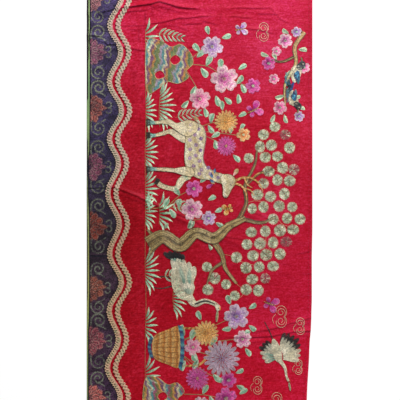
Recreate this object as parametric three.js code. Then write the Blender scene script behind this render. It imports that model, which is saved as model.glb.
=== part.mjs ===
// Embroidered silk panel: a length of red silk with a wavy bordered hem, lying face up.
// Millimetres, +Z up. X runs from the bordered hem to the plain hem, Y runs along the length,
// and the origin is at the middle of the underside.
import * as THREE from 'three';

// --- Driving dimensions -------------------------------------------------------------------
const PANEL = { hemEdge: -258.75, plainEdge: 258.3, halfLength: 500 };
const THICK = { ground: 1.5, brocade: 1.2, braid: 1.8, binding: 1.5, hem: 0.6 };
const GAP = 0.3; // between neighbouring pieces
const HEM = { side: 8, end: 12, step: 0.6 }; // turned-in widths, and the step down to one layer
const BINDING_WIDTH = 8.25;
const BRAID = { inner: 11, bare: 6, outer: 13.5 }; // braid, bare silk between, second braid
const BROCADE_SEAM_Y = -129; // where two lengths of brocade meet end to end
const ROW_STEP = 17; // longest step along Y between two rows of the cloth

// --- The wavy line where the brocade ends: one row for each turn of the wave ---------------
const WAVE_TURNS = [
  { y: 530, x: -213 }, { y: 465, x: -185 }, { y: 402, x: -212 }, { y: 340, x: -187 },
  { y: 271, x: -213 }, { y: 205, x: -185 }, { y: 140, x: -213 }, { y: 85, x: -192 },
  { y: 14, x: -217 }, { y: -55, x: -190 }, { y: -124, x: -213 }, { y: -189, x: -185 },
  { y: -255, x: -214 }, { y: -320, x: -192 }, { y: -386, x: -218 }, { y: -453, x: -188 },
  { y: -518, x: -214 },
];

// --- Edges: how much binding shows beside the brocade, and where the plain edge lies --------
const BINDING_SHOWS = [
  { y: 500, width: 4.6 }, { y: 392, width: 4.6 }, { y: 375, width: 3.2 }, { y: 320, width: 4.8 },
  { y: 230, width: 4.4 }, { y: 115, width: 3.5 }, { y: 90, width: 0.5 }, { y: 10, width: 0.5 },
  { y: -30, width: 3.0 }, { y: -200, width: 3.4 }, { y: -275, width: 2.4 }, { y: -300, width: 0.9 },
  { y: -500, width: 0.7 },
];
const PLAIN_EDGE = [
  { y: 500, x: 258.3 }, { y: -69, x: 258.3 }, { y: -129, x: 257 }, { y: -230, x: 257 },
  { y: -292, x: 255.1 }, { y: -331, x: 251.6 }, { y: -366, x: 250.7 }, { y: -435, x: 246.3 },
  { y: -500, x: 244 },
];

// --- Folds, from the far end to the near end. The crest is given at points along it, and ----
// --- upper and lower are the widths of its two slopes. --------------------------------------
const FOLDS = [
  { name: 'head fold', upper: 9, lower: 6.5, crest: [
    { x: -259, y: 429, rise: 2.2 }, { x: -218, y: 432, rise: 3.4 }, { x: -189, y: 441, rise: 4.6 },
    { x: -127, y: 448, rise: 5.5 }, { x: -92, y: 453, rise: 5.5 }, { x: -57, y: 446, rise: 4.4 },
    { x: -18, y: 440, rise: 3.0 }, { x: 100, y: 438, rise: 1.2 }, { x: 259, y: 437, rise: 0.4 }] },
  { name: 'soft fold below the head', upper: 7, lower: 7, crest: [
    { x: -259, y: 396, rise: 0 }, { x: -150, y: 397, rise: 0.3 }, { x: -110, y: 402, rise: 1.8 },
    { x: -46, y: 418, rise: 2.2 }, { x: 34, y: 421, rise: 1.6 }, { x: 90, y: 421, rise: 0 },
    { x: 259, y: 421, rise: 0 }] },
  { name: 'border crease', upper: 6, lower: 6, crest: [
    { x: -259, y: 379, rise: 2.4 }, { x: -218, y: 366, rise: 2.6 }, { x: -189, y: 353, rise: 2.4 },
    { x: -57, y: 346, rise: 0.5 }, { x: 20, y: 366, rise: 0.3 }, { x: 92, y: 389, rise: 1.6 },
    { x: 172, y: 393, rise: 1.6 }, { x: 259, y: 394, rise: 0.3 }] },
  { name: 'light fold', upper: 9, lower: 9, crest: [
    { x: -259, y: 106, rise: 0 }, { x: 40, y: 6, rise: 0 }, { x: 99, y: -23, rise: 1.6 },
    { x: 200, y: -76, rise: 1.6 }, { x: 259, y: -107, rise: 0.4 }] },
  { name: 'long diagonal fold', upper: 11, lower: 7, crest: [
    { x: -259, y: 50, rise: 0.6 }, { x: -189, y: 25, rise: 1.8 }, { x: -115, y: -9, rise: 3.4 },
    { x: -23, y: -55, rise: 3.8 }, { x: 23, y: -82, rise: 3.4 }, { x: 115, y: -104, rise: 2.4 },
    { x: 172, y: -156, rise: 1.4 }, { x: 259, y: -196, rise: 0.3 }] },
  { name: 'near fold', upper: 7, lower: 6, crest: [
    { x: -259, y: -344, rise: 0 }, { x: -20, y: -337, rise: 0.2 }, { x: 16, y: -331, rise: 1.8 },
    { x: 122, y: -304, rise: 2.6 }, { x: 259, y: -274, rise: 2.0 }] },
  { name: 'near side fold', upper: 6, lower: 7, crest: [
    { x: -259, y: -372, rise: 0 }, { x: 60, y: -348, rise: 0.2 }, { x: 122, y: -324, rise: 1.5 },
    { x: 259, y: -301, rise: 1.8 }] },
];
const SEAM_ROW = [
  { x: -259, y: BROCADE_SEAM_Y }, { x: -150, y: BROCADE_SEAM_Y }, { x: 120, y: -215 },
  { x: 259, y: -230 },
];
// A soft pucker that runs along Y beside the outer braid.
const PUCKER = { rise: 1.6, top: 40, bottom: -180, fade: 40 };

// --- Reading the tables ---------------------------------------------------------------------
const ramp = (from, to, at) => Math.min(1, Math.max(0, (at - from) / (to - from)));
const ease = (t) => (1 - Math.cos(Math.PI * t)) / 2;

// The value of one column between two rows of a table, by default along a straight line.
function read(table, key, column, at, shape = (t) => t) {
  const last = table.length - 2;
  const found = table.findIndex((row, i) => i <= last
    && (at - row[key]) * (at - table[i + 1][key]) <= 0);
  const first = found >= 0 ? found : (Math.abs(at - table[0][key])
    < Math.abs(at - table[last + 1][key]) ? 0 : last);
  const [a, b] = [table[first], table[first + 1]];
  return a[column] + (b[column] - a[column]) * shape(ramp(a[key], b[key], at));
}

const waveX = (y) => read(WAVE_TURNS, 'y', 'x', y, ease);
const plainEdgeX = (y) => read(PLAIN_EDGE, 'y', 'x', y);
const brocadeEdgeX = (y) => PANEL.hemEdge + read(BINDING_SHOWS, 'y', 'width', y);
const crestY = (fold, x) => read(fold.crest, 'x', 'y', x);

// --- Rows: lines across the panel that bend with the folds -----------------------------------
const shifted = (line, by) => (x) => line(x) + by;
const foldRows = FOLDS.flatMap((fold) => {
  const crest = (x) => crestY(fold, x);
  return [shifted(crest, fold.upper), crest, shifted(crest, -fold.lower)];
});
const seamRow = (x) => read(SEAM_ROW, 'x', 'y', x);
const endRow = (side, inset) => () => side * (PANEL.halfLength - inset);
const hemRows = [0, HEM.end, HEM.end + HEM.step];
const mainRows = [
  ...hemRows.map((inset) => endRow(1, inset)), ...foldRows, seamRow,
  ...hemRows.map((inset) => endRow(-1, inset)),
].sort((a, b) => b(PANEL.hemEdge) - a(PANEL.hemEdge));

function rowsBetween(upper, lower) {
  const widest = Math.max(...[-259, -150, -50, 50, 150, 259].map((x) => upper(x) - lower(x)));
  const count = Math.max(1, Math.ceil(widest / ROW_STEP));
  return Array.from({ length: count }, (_, i) => (
    (x) => upper(x) + (lower(x) - upper(x)) * i / count));
}

const rows = mainRows.flatMap((row, i) => (
  i < mainRows.length - 1 ? rowsBetween(row, mainRows[i + 1]) : [row]));
const seamIndex = rows.findIndex((row) => Math.abs(row(PANEL.hemEdge) - BROCADE_SEAM_Y) < 1e-6);

// --- Lanes: lines along the panel that follow its edges and the wave --------------------------
const bindingLane = () => PANEL.hemEdge;
const jointX = PANEL.hemEdge + BINDING_WIDTH;
const fromWave = (distance) => (y) => waveX(y) + distance;
const bareX = fromWave(BRAID.inner);
const outerBraidX = fromWave(BRAID.inner + BRAID.bare);
const braidsEndX = fromWave(BRAID.inner + BRAID.bare + BRAID.outer);
const FIELD_START = -105;
const fieldLanes = [FIELD_START, -50, 10, 70, 130, 190].map((x) => () => x);
const puckerLane = (y) => braidsEndX(y) + (FIELD_START - braidsEndX(y)) * 0.3;
const groundLanes = [
  () => jointX + GAP / 2, waveX, bareX, outerBraidX, braidsEndX, puckerLane, ...fieldLanes,
  (y) => plainEdgeX(y) - HEM.side - HEM.step, (y) => plainEdgeX(y) - HEM.side, plainEdgeX,
];

// --- Height of the cloth's underside over the surface it lies on ------------------------------
function foldHeight(x, y) {
  let height = 0;
  for (const fold of FOLDS) {
    const away = y - crestY(fold, x);
    const slope = away > 0 ? fold.upper : fold.lower;
    const part = Math.max(0, 1 - Math.abs(away) / slope);
    height += part * read(fold.crest, 'x', 'rise', x);
  }
  return height;
}

function puckerHeight(x, y) {
  const along = ramp(PUCKER.bottom - PUCKER.fade, PUCKER.bottom, y)
    * ramp(PUCKER.top + PUCKER.fade, PUCKER.top, y);
  const middle = puckerLane(y);
  const across = x < middle ? ramp(braidsEndX(y), middle, x) : ramp(FIELD_START, middle, x);
  return PUCKER.rise * along * across;
}

const underside = (x, y) => foldHeight(x, y) + puckerHeight(x, y);

function groundTop(x, y) {
  const sideHem = x > plainEdgeX(y) - HEM.side - 1e-6 ? THICK.hem : 0;
  const endHem = Math.abs(y) > PANEL.halfLength - HEM.end - 1e-6 ? THICK.hem : 0;
  return underside(x, y) + THICK.ground + Math.max(sideHem, endHem);
}

const laidOn = (x, y) => groundTop(x, y) + GAP;

// --- One piece of cloth: a closed solid over a stretch of rows and a set of lanes --------------
function pointOn(row, lane) {
  let x = lane(row(0));
  for (let i = 0; i < 8; i += 1) x = lane(row(x));
  return { x, y: row(x) };
}

function clothGeometry(pieceRows, lanes, bottom, thickness) {
  const across = lanes.length;
  const layerSize = pieceRows.length * across;
  const below = [];
  const above = [];
  for (const row of pieceRows) {
    for (const lane of lanes) {
      const { x, y } = pointOn(row, lane);
      below.push(x, y, bottom(x, y));
      above.push(x, y, thickness(x, y));
    }
  }
  const faces = [];
  const quad = (a, b, c, d) => faces.push(a, b, c, a, c, d);
  const at = (row, lane) => row * across + lane;
  for (let r = 0; r < pieceRows.length - 1; r += 1) {
    for (let l = 0; l < across - 1; l += 1) {
      const [a, b, c, d] = [at(r, l), at(r + 1, l), at(r + 1, l + 1), at(r, l + 1)];
      quad(a + layerSize, b + layerSize, c + layerSize, d + layerSize);
      quad(a, d, c, b);
    }
  }
  const wall = (a, b) => quad(a, b, b + layerSize, a + layerSize);
  for (let r = 0; r < pieceRows.length - 1; r += 1) {
    wall(at(r + 1, across - 1), at(r, across - 1));
    wall(at(r, 0), at(r + 1, 0));
  }
  const lastRow = pieceRows.length - 1;
  for (let l = 0; l < across - 1; l += 1) {
    wall(at(0, l + 1), at(0, l));
    wall(at(lastRow, l), at(lastRow, l + 1));
  }
  const geometry = new THREE.BufferGeometry();
  geometry.setAttribute('position', new THREE.Float32BufferAttribute([...below, ...above], 3));
  geometry.setIndex(faces);
  geometry.computeVertexNormals();
  return geometry;
}

function piece(name, geometry, color, roughness) {
  const material = new THREE.MeshStandardMaterial({ color, roughness, metalness: 0 });
  const mesh = new THREE.Mesh(geometry, material);
  mesh.name = name;
  return mesh;
}

// --- The pieces ----------------------------------------------------------------------------
function groundPanel() {
  return piece('ground_panel', clothGeometry(rows, groundLanes, underside, groundTop), 0xb4233a, 0.5);
}

function edgeBinding() {
  const lanes = [bindingLane, () => jointX - GAP / 2];
  const top = (x, y) => underside(x, y) + THICK.binding;
  return piece('edge_binding', clothGeometry(rows, lanes, underside, top), 0x7f9e62, 0.55);
}

function brocadeLength(name, pieceRows) {
  const lanes = [brocadeEdgeX, () => jointX, fromWave(-GAP)];
  const top = (x, y) => laidOn(x, y) + THICK.brocade;
  return piece(name, clothGeometry(pieceRows, lanes, laidOn, top), 0x3d3454, 0.6);
}

function braid(name, lanes) {
  const top = (x, y) => laidOn(x, y) + THICK.braid;
  return piece(name, clothGeometry(rows, lanes, laidOn, top), 0xc3ae98, 0.7);
}

const panel = new THREE.Group();
const seam = rows[seamIndex];
panel.add(
  groundPanel(),
  edgeBinding(),
  brocadeLength('brocade_upper', [...rows.slice(0, seamIndex), shifted(seam, GAP / 2)]),
  brocadeLength('brocade_lower', [shifted(seam, -GAP / 2), ...rows.slice(seamIndex + 1)]),
  braid('braid_inner', [waveX, bareX]),
  braid('braid_outer', [outerBraidX, braidsEndX]),
);

export default panel;
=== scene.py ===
# %% [markdown]
# # An embroidered silk panel
# The panel is a length of red silk. A violet brocade border is laid along one long edge, and its
# wavy inner edge is covered by a braid. A second braid follows it, and a narrow green binding
# finishes the outer edge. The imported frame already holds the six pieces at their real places, so
# this lesson dresses each one: fine cloth, woven figures, plaited cords and silk stitches.

# %% Load the fixed frame
import math
import bpy
import numpy as np
from mathutils.bvhtree import BVHTree
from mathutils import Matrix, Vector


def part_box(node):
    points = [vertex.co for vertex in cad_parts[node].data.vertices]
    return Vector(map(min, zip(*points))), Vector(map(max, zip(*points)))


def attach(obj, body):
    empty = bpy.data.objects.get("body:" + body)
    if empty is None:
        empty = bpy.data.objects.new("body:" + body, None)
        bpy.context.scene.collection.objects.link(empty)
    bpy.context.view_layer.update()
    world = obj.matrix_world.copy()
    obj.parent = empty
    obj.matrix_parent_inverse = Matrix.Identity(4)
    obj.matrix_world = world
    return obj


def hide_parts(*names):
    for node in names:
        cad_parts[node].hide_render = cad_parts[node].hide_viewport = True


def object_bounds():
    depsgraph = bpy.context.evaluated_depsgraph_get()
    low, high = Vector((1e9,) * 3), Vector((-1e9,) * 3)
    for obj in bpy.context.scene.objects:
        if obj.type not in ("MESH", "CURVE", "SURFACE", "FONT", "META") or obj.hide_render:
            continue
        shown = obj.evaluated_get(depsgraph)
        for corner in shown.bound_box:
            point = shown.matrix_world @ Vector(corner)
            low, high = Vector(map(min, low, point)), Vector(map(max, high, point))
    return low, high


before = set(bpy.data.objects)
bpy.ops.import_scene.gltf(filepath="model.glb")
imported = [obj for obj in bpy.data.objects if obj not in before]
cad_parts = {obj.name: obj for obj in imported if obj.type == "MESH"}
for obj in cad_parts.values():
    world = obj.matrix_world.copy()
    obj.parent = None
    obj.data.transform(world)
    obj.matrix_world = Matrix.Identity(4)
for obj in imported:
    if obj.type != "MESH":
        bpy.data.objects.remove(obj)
cad_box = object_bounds()
MM = 0.001
print("nodes:", sorted(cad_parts))

# %% [markdown]
# The camera looks straight down on the panel, as on a cloth laid out on a table. Its field is
# narrower than the panel is long, so both ends run out of its view.

# %% Camera
FIELD = 0.92
CAMERA_HEIGHT = 2.3
SENSOR = 36
camera = bpy.data.objects.new("camera", bpy.data.cameras.new("camera"))
bpy.context.collection.objects.link(camera)
camera.location = (0, 0, CAMERA_HEIGHT)
camera.data.sensor_width = SENSOR
camera.data.lens = SENSOR * CAMERA_HEIGHT / FIELD
bpy.context.scene.camera = camera
bpy.context.scene.view_settings.view_transform = "Standard"
print("lens:", round(camera.data.lens, 1), "mm")

# %% [markdown]
# ## Small helpers
# Every material and every Geometry Nodes tree is built with one function, which adds a node, sets
# its properties and either fills or links its inputs. Colours are written as the hex values that
# one reads off a colour card, and turned to linear light by one function. A new mesh becomes a
# piece with a third.

# %% Nodes, colours and pieces
def linear(code):
    """Turn an sRGB hex code into linear red, green and blue with full alpha."""
    parts = [int(code[i:i + 2], 16) / 255 for i in (1, 3, 5)]
    return [c / 12.92 if c <= 0.04045 else ((c + 0.055) / 1.055) ** 2.4 for c in parts] + [1.0]


def add(tree, kind, inputs=None, stops=(), **settings):
    """Add a node. Settings are its properties; inputs are socket values or sockets to link from.
    A colour ramp has stops, each with its place and hex code."""
    node = tree.nodes.new(kind)
    for name, value in settings.items():
        setattr(node, name, value)
    for name, value in (inputs or {}).items():
        if isinstance(value, bpy.types.NodeSocket):
            tree.links.new(value, node.inputs[name])
        else:
            node.inputs[name].default_value = value
    for _ in stops[2:]:
        node.color_ramp.elements.new(0.5)
    for number, (place, code) in enumerate(stops):
        node.color_ramp.elements[number].position = place
        node.color_ramp.elements[number].color = linear(code)
    return node


def new_material(name):
    """Make an empty node material and return it with its tree."""
    material = bpy.data.materials.new(name)
    material.use_nodes = True
    material.node_tree.nodes.clear()
    return material, material.node_tree


def new_piece(name, mesh):
    """Make an object of a mesh and put it in the scene."""
    piece = bpy.data.objects.new(name, mesh)
    bpy.context.collection.objects.link(piece)
    return piece


# With these settings a Mix node darkens the colour in its socket 6 by the one in its socket 7.
DARKEN = {"data_type": "RGBA", "blend_type": "MULTIPLY"}
print("crimson in linear light:", [round(c, 3) for c in linear("#B4233A")])

# %% [markdown]
# ## Reading the frame
# A cloth piece is a thin solid, so two questions are enough to dress it: where does it start and
# end at each place along the panel, and how high does it lie there. The first is answered by
# cutting the solid across, the second by shooting rays up at its underside. The heights go into
# one grid, which is smoothed a little, because silk bends in soft curves and not along edges.

# %% Edges and heights of the solids
def solid(node):
    """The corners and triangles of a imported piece."""
    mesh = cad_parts[node].data
    mesh.calc_loop_triangles()
    corners = np.array([v.co for v in mesh.vertices])
    return corners, np.array([t.vertices for t in mesh.loop_triangles])


def sides(node, along):
    """The lowest and highest x of a piece where it is cut at each y."""
    corners, triangles = solid(node)
    edges = corners[triangles[:, [0, 1, 1, 2, 2, 0]]].reshape(-1, 2, 3)
    start, end = edges[:, 0], edges[:, 1]
    low, high = [], []
    for y in along:
        cut = (start[:, 1] - y) * (end[:, 1] - y) < 0
        a, b = start[cut], end[cut]
        x = a[:, 0] + (b[:, 0] - a[:, 0]) * (y - a[:, 1]) / (b[:, 1] - a[:, 1])
        low.append(x.min())
        high.append(x.max())
    return np.array(low), np.array(high)


GRID = 2 * MM
SMOOTHINGS = 8
box_low, box_high = (np.array(corner) for corner in cad_box)
grid_x = np.arange(box_low[0], box_high[0] + GRID, GRID)
grid_y = np.arange(box_low[1], box_high[1] + GRID, GRID)


def lying_heights():
    """Height of the silk's underside over the table, on the grid, softened."""
    corners, triangles = solid("ground_panel")
    tree = BVHTree.FromPolygons(corners.tolist(), triangles.tolist())
    heights = np.full((len(grid_y), len(grid_x)), np.nan)
    for i, y in enumerate(grid_y):
        for j, x in enumerate(grid_x):
            hit = tree.ray_cast((x, y, -1), (0, 0, 1))[0]
            if hit:
                heights[i, j] = hit.z
        known = ~np.isnan(heights[i])
        if known.any():
            heights[i] = np.interp(grid_x, grid_x[known], heights[i][known])
    heights[np.isnan(heights)] = 0
    for _ in range(SMOOTHINGS):
        for axis in (0, 1):
            padded = np.pad(heights, [(1, 1) if k == axis else (0, 0) for k in (0, 1)], "edge")
            before, after = (np.take(padded, range(s, s + heights.shape[axis]), axis) for s in (0, 2))
            heights = (before + 2 * heights + after) / 4
    return heights


lying = lying_heights()


def lie(x, y):
    """Height of the silk's underside at any place, read between the grid's points."""
    x, y = np.asarray(x, float), np.asarray(y, float)
    i = np.clip((y - grid_y[0]) / GRID, 0, len(grid_y) - 1.001)
    j = np.clip((x - grid_x[0]) / GRID, 0, len(grid_x) - 1.001)
    i0, j0 = i.astype(int), j.astype(int)
    fi, fj = i - i0, j - j0
    near = lying[i0, j0] * (1 - fj) + lying[i0, j0 + 1] * fj
    far = lying[i0 + 1, j0] * (1 - fj) + lying[i0 + 1, j0 + 1] * fj
    return near * (1 - fi) + far * fi


print("highest fold:", round(lying.max() / MM, 1), "mm over the table")

# %% [markdown]
# ## A closed sheet of cloth
# Each cloth piece is one closed mesh: a grid of points for its face, the same grid lower down for
# its back, and four narrow walls. Writing the grid by hand keeps the faces square to the weave
# and lets the face carry a woven figure as a colour on its points. Nobody sees the back, so its
# faces are four times as long and wide; along the rim they keep every point, to stay closed.

# %% The sheet builder
HALF_LENGTH = box_high[1] - 0.01 * MM
BACK_STEP = 4


def coarse_faces(number):
    """Large faces over a grid of point numbers that still use every point along the grid's rim."""
    rows, across = number.shape
    row_marks = [*range(0, rows - 1, BACK_STEP), rows - 1]
    lane_marks = [*range(0, across - 1, BACK_STEP), across - 1]
    faces = []
    for r0, r1 in zip(row_marks[:-1], row_marks[1:]):
        for c0, c1 in zip(lane_marks[:-1], lane_marks[1:]):
            bottom = number[r0, c0:c1 + 1] if r0 == 0 else number[r0, [c0, c1]]
            top = number[r1, c0:c1 + 1] if r1 == rows - 1 else number[r1, [c0, c1]]
            right = number[r0 + 1:r1, c1] if c1 == across - 1 else []
            left = number[r0 + 1:r1, c0] if c0 == 0 else []
            faces.append([*bottom, *right, *top[::-1], *left[::-1]])
    return faces


def closed_sheet(name, x, y, top, thickness, material, colours):
    """Make one closed cloth mesh. x, y, top, thickness and colours are grids of the same shape."""
    rows, across = x.shape
    shift = rows * across
    points = np.concatenate([np.stack([x, y, height], -1).reshape(-1, 3)
                             for height in (top, top - thickness)])
    number = np.arange(shift).reshape(rows, across)
    a, b, c, d = number[:-1, :-1], number[:-1, 1:], number[1:, 1:], number[1:, :-1]
    face = np.stack([a, b, c, d], -1).reshape(-1, 4).tolist()
    back = [loop[::-1] for loop in coarse_faces(number + shift)]
    rim = np.concatenate([number[0], number[1:, -1], number[-1, -2::-1], number[-2:0:-1, 0]])
    following = np.roll(rim, -1)
    walls = np.stack([following, rim, rim + shift, following + shift], -1).tolist()
    faces = face + walls + back
    used = np.unique(np.concatenate(faces))
    fresh = np.zeros(2 * shift, int)
    fresh[used] = np.arange(len(used))
    mesh = bpy.data.meshes.new(name)
    mesh.from_pydata(points[used].tolist(), [], [fresh[loop].tolist() for loop in faces])
    mesh.shade_smooth()
    layer = mesh.attributes.new("figure", "FLOAT_COLOR", "POINT")
    layer.data.foreach_set("color", np.tile(colours.reshape(-1, 4), (2, 1))[used].ravel())
    mesh.materials.append(material)
    print(name, "has", sum(len(loop) - 2 for loop in faces), "triangles")
    return new_piece(name, mesh)


def lanes(left, right, shares):
    """Points across a strip whose edges are left and right: one row for each place along it."""
    return left[:, None] + (right - left)[:, None] * shares[None, :]


def read_table(table, column, y):
    """A table's value at each y, between its rows. Its first column is the place along the panel
    in mm; the one that is read holds numbers, triples of numbers or hex codes."""
    rows = sorted(table)
    places = [MM * row[0] for row in rows]
    values = [linear(row[column]) if isinstance(row[column], str) else row[column] for row in rows]
    values = np.array(values, float)
    if values.ndim == 1:
        return np.interp(y, places, values)
    return np.stack([np.interp(y, places, channel) for channel in values.T], -1)

# %% [markdown]
# ## Red silk
# The ground is a plain-woven silk, dyed crimson. Its weft threads are uneven, so pale and dark
# slubs and small nubs run across the panel, and the floatless weave gives a soft sheen and not a
# gloss. Real threads are about 0.15 mm apart, too fine to show from here, so the weave is drawn
# at 1.4 mm. Handling has left long shallow crumples across the panel, which are bump as well.

# %% Woven silk material
THREAD = 1.4 * MM
SLUB_WIDTH = 2.2 * MM
NUB = 3.2 * MM


def woven_silk(name, shades, slub_length, crumple):
    """Plain-woven dyed silk: slubs along X, a fine crossed weave and soft crumples as bump."""
    material, tree = new_material(name)
    place = add(tree, "ShaderNodeTexCoord").outputs["Object"]
    stretch = add(tree, "ShaderNodeMapping", {
        "Vector": place, "Scale": (1 / slub_length, 1 / SLUB_WIDTH, 1)})
    slubs = add(tree, "ShaderNodeTexNoise", {
        "Vector": stretch.outputs[0], "Scale": 1.0, "Detail": 4.0, "Roughness": 0.6})
    blotches = add(tree, "ShaderNodeTexNoise", {"Vector": place, "Scale": 9.0, "Detail": 3.0})
    nubs = add(tree, "ShaderNodeTexNoise", {
        "Vector": place, "Scale": 1 / NUB, "Detail": 1.0, "Roughness": 0.5})
    uneven = add(tree, "ShaderNodeMix", {
        "Factor": 0.45, "A": slubs.outputs["Fac"], "B": nubs.outputs["Fac"]})
    tone = add(tree, "ShaderNodeMix", {
        "Factor": 0.3, "A": uneven.outputs["Result"], "B": blotches.outputs["Fac"]})
    dyed = add(tree, "ShaderNodeValToRGB", {"Fac": tone.outputs["Result"]}, shades)
    # the figure attribute holds painted crease shade, painted sheen and shade, the dye's fading and its
    # wear
    worn = add(tree, "ShaderNodeAttribute", attribute_name="figure")
    colour = add(tree, "ShaderNodeMix", {
        "Factor": 1.0, 6: dyed.outputs["Color"], 7: worn.outputs["Color"]}, **DARKEN)
    warp, weft = (add(tree, "ShaderNodeTexWave", {
        "Vector": place, "Scale": math.pi / 10 / THREAD, "Distortion": 0.6, "Detail": 1.0},
        bands_direction=direction) for direction in "XY")
    weave = add(tree, "ShaderNodeMath", {0: warp.outputs["Fac"], 1: weft.outputs["Fac"]},
                operation="MULTIPLY")
    weave_bump = add(tree, "ShaderNodeBump", {
        "Height": weave.outputs[0], "Strength": 0.35, "Distance": 0.15 * MM})
    slub_bump = add(tree, "ShaderNodeBump", {
        "Height": slubs.outputs["Fac"], "Strength": 0.5, "Distance": 0.5 * MM,
        "Normal": weave_bump.outputs[0]})
    long_way = add(tree, "ShaderNodeMapping", {"Vector": place, "Scale": (11, 40, 1)})
    creases = add(tree, "ShaderNodeTexNoise", {
        "Vector": long_way.outputs[0], "Scale": 1.0, "Detail": 3.0, "Roughness": 0.5,
        "Distortion": 0.8})
    crumples = add(tree, "ShaderNodeBump", {
        "Height": creases.outputs["Fac"], "Strength": 1.0, "Distance": crumple,
        "Normal": slub_bump.outputs[0]})
    surface = add(tree, "ShaderNodeBsdfPrincipled", {
        "Base Color": colour.outputs[2], "Roughness": 0.5, "Normal": crumples.outputs[0],
        "Specular IOR Level": 0.18, "Specular Tint": (1.0, 0.5, 0.75, 1.0)})
    add(tree, "ShaderNodeOutputMaterial", {"Surface": surface.outputs[0]})
    return material


crimson_silk = woven_silk("crimson woven silk", [
    (0.38, "#990212"), (0.5, "#AE0D28"), (0.62, "#C22147")], 16 * MM, 2.1 * MM)
green_silk = woven_silk("green binding silk", [
    (0.30, "#BFBFB0"), (0.5, "#E4E4D8"), (0.72, "#FFFFFF")], 5 * MM, 0)
print("made", crimson_silk.name, "and", green_silk.name)

# %% [markdown]
# ## The ground panel
# The silk follows the folds that its solid lies in. Cloth is never quite flat between its folds,
# so shallow swells are added everywhere. The folds of the solid are soft; along them, and
# elsewhere, run sharp narrow creases that were pressed in while the panel was stored. A crease
# rises in one steep face, darkened by painted shade, falls off slowly behind it, and has a low
# ridge some way in front of it. Most creases run across the panel and face its near end; a few
# short ones run along it. The red dye has faded along the length and worn unevenly, and painted
# sheen and shade make it pinker towards the far end and deeper in the middle; each point of the
# sheet carries its colour. The long plain edge and both ends are turned in and are two layers thick.

# %% Where the creases run
CREASES = [  # points (x mm, y mm, depth from 0 to 1) along each crease
    [(-228, 430, 0), (-218, 432, 0.6), (-202, 436, 0.6), (-165, 442, 0.9), (-143, 445, 0.9),
     (-112, 449, 0.9), (-94, 455, 1), (-69, 448, 1), (-54, 443, 0.9), (-37, 440, 1),
     (-16, 439, 0.7), (4, 438, 0)],
    [(48, 437, 0), (92, 441, 0.4), (113, 440, 0.4), (147, 440, 0.35), (168, 442, 0)],
    [(-185, 398, 0), (-165, 400, 0.3), (-130, 400, 0.35), (-106, 405, 0.5), (-80, 409, 0.5),
     (-48, 417, 0.65), (-32, 417, 0.4), (6, 421, 0.5), (38, 422, 0)],
    [(-175, 392, 0), (-158, 391, 0.2), (-143, 391, 0.15), (-94, 398, 0.1), (-57, 400, 0.2),
     (-37, 392, 0.3), (-26, 388, 0)],
    [(-136, 371, 0), (-115, 376, 0.35), (-92, 385, 0)],
    [(-257, 376, 0.9), (-246, 377, 0.9), (-224, 374, 0.5), (-212, 372, 0)],
    [(-220, 360, 0), (-212, 356, 0.9), (-192, 356, 1), (-175, 350, 0.5), (-161, 348, 0.4),
     (-143, 344, 0.5), (-106, 339, 0.2), (-80, 334, 0)],
    [(46, 400, 0), (90, 397, 0.15), (110, 392, 0.4), (136, 390, 0.5), (159, 384, 0.4),
     (172, 382, 0)],
    [(-192, 27, 0.6), (-186, 24, 0.8), (-143, 7, 0.8), (-106, -12, 0.9), (-65, -29, 0.9),
     (-25, -43, 0.8), (4, -60, 0.5), (21, -71, 0.4), (64, -86, 0.35), (104, -92, 0.35),
     (127, -104, 0.35), (150, -124, 0.2), (175, -144, 0)],
    [(90, -17, 0), (110, -27, 0.25), (136, -33, 0.35), (164, -49, 0.4), (205, -66, 0.4),
     (216, -73, 0.2), (232, -81, 0)],
    [(92, -308, 0), (110, -305, 0.3), (159, -299, 0.4), (182, -293, 0.35),
     (205, -285, 0.35), (250, -273, 0.4), (260, -270, 0.4)],
    [(20, -322, 0), (78, -316, 0.35), (113, -317, 0.65), (165, -314, 0.65),
     (193, -308, 0.5), (222, -303, 0.55), (260, -302, 0.6)],
    [(212, -128, 0), (237, -122, 0.3), (260, -116, 0.3)],
    [(-172, 430, 0), (-163, 432, 0.34), (-126, 435, 0.34), (-118, 437, 0)],
    [(-86, 425, 0), (-82, 429, 0.34), (-68, 441, 0.34), (-62, 446, 0)],
    [(-115, 447, 0), (-111, 444, 0.27), (-92, 434, 0.27), (-86, 430, 0)],
    [(-40, 403, 0), (-31, 403, 0.42), (2, 405, 0.42), (10, 405, 0)],
    [(2, 412, 0), (10, 410, 0.34), (32, 404, 0.34), (52, 400, 0)],
    [(66, 421, 0), (76, 421, 0.34), (112, 418, 0.34), (122, 416, 0)],
    [(130, 427, 0), (138, 427, 0.34), (174, 426, 0.34), (186, 425, 0)],
    [(158, 444, 0), (163, 440, 0.34), (182, 417, 0.42), (199, 407, 0.27), (210, 403, 0)],
    [(-34, 348, 0), (-22, 350, 0.5), (6, 352, 0.5), (16, 353, 0)],
    [(-128, 322, 0), (-120, 325, 0.27), (-98, 330, 0.27), (-90, 333, 0)],
]
UP_CREASES = [  # the same for creases along the panel, with y before x
    [(388, -129, 0), (396, -128, 0.34), (430, -125, 0.34), (440, -124, 0)],
    [(418, -110, 0), (426, -109, 0.34), (448, -109, 0.34), (456, -110, 0)],
    [(360, -142, 0), (368, -141, 0.27), (396, -142, 0.27), (404, -143, 0)],
    [(404, 46, 0), (410, 46, 0.22), (426, 48, 0.22), (432, 48, 0)],
]
print(len(CREASES), "creases across the panel and", len(UP_CREASES), "along it")

# %% Swells and creases
CREASE_RISE = 2.1 * MM
CREASE_FACE = 2.4 * MM
CREASE_BACK = 4.8 * MM
# the width of the painted shade along the steep face of a crease
CREASE_SHADE_WIDTH = 1.5 * MM
RIDGE = 3.1 * MM
RIDGE_RISE = 0.6  # as a share of the crease's own rise
RIDGE_AHEAD = 2.7  # how many of its own widths it stands in front of the crease


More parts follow.
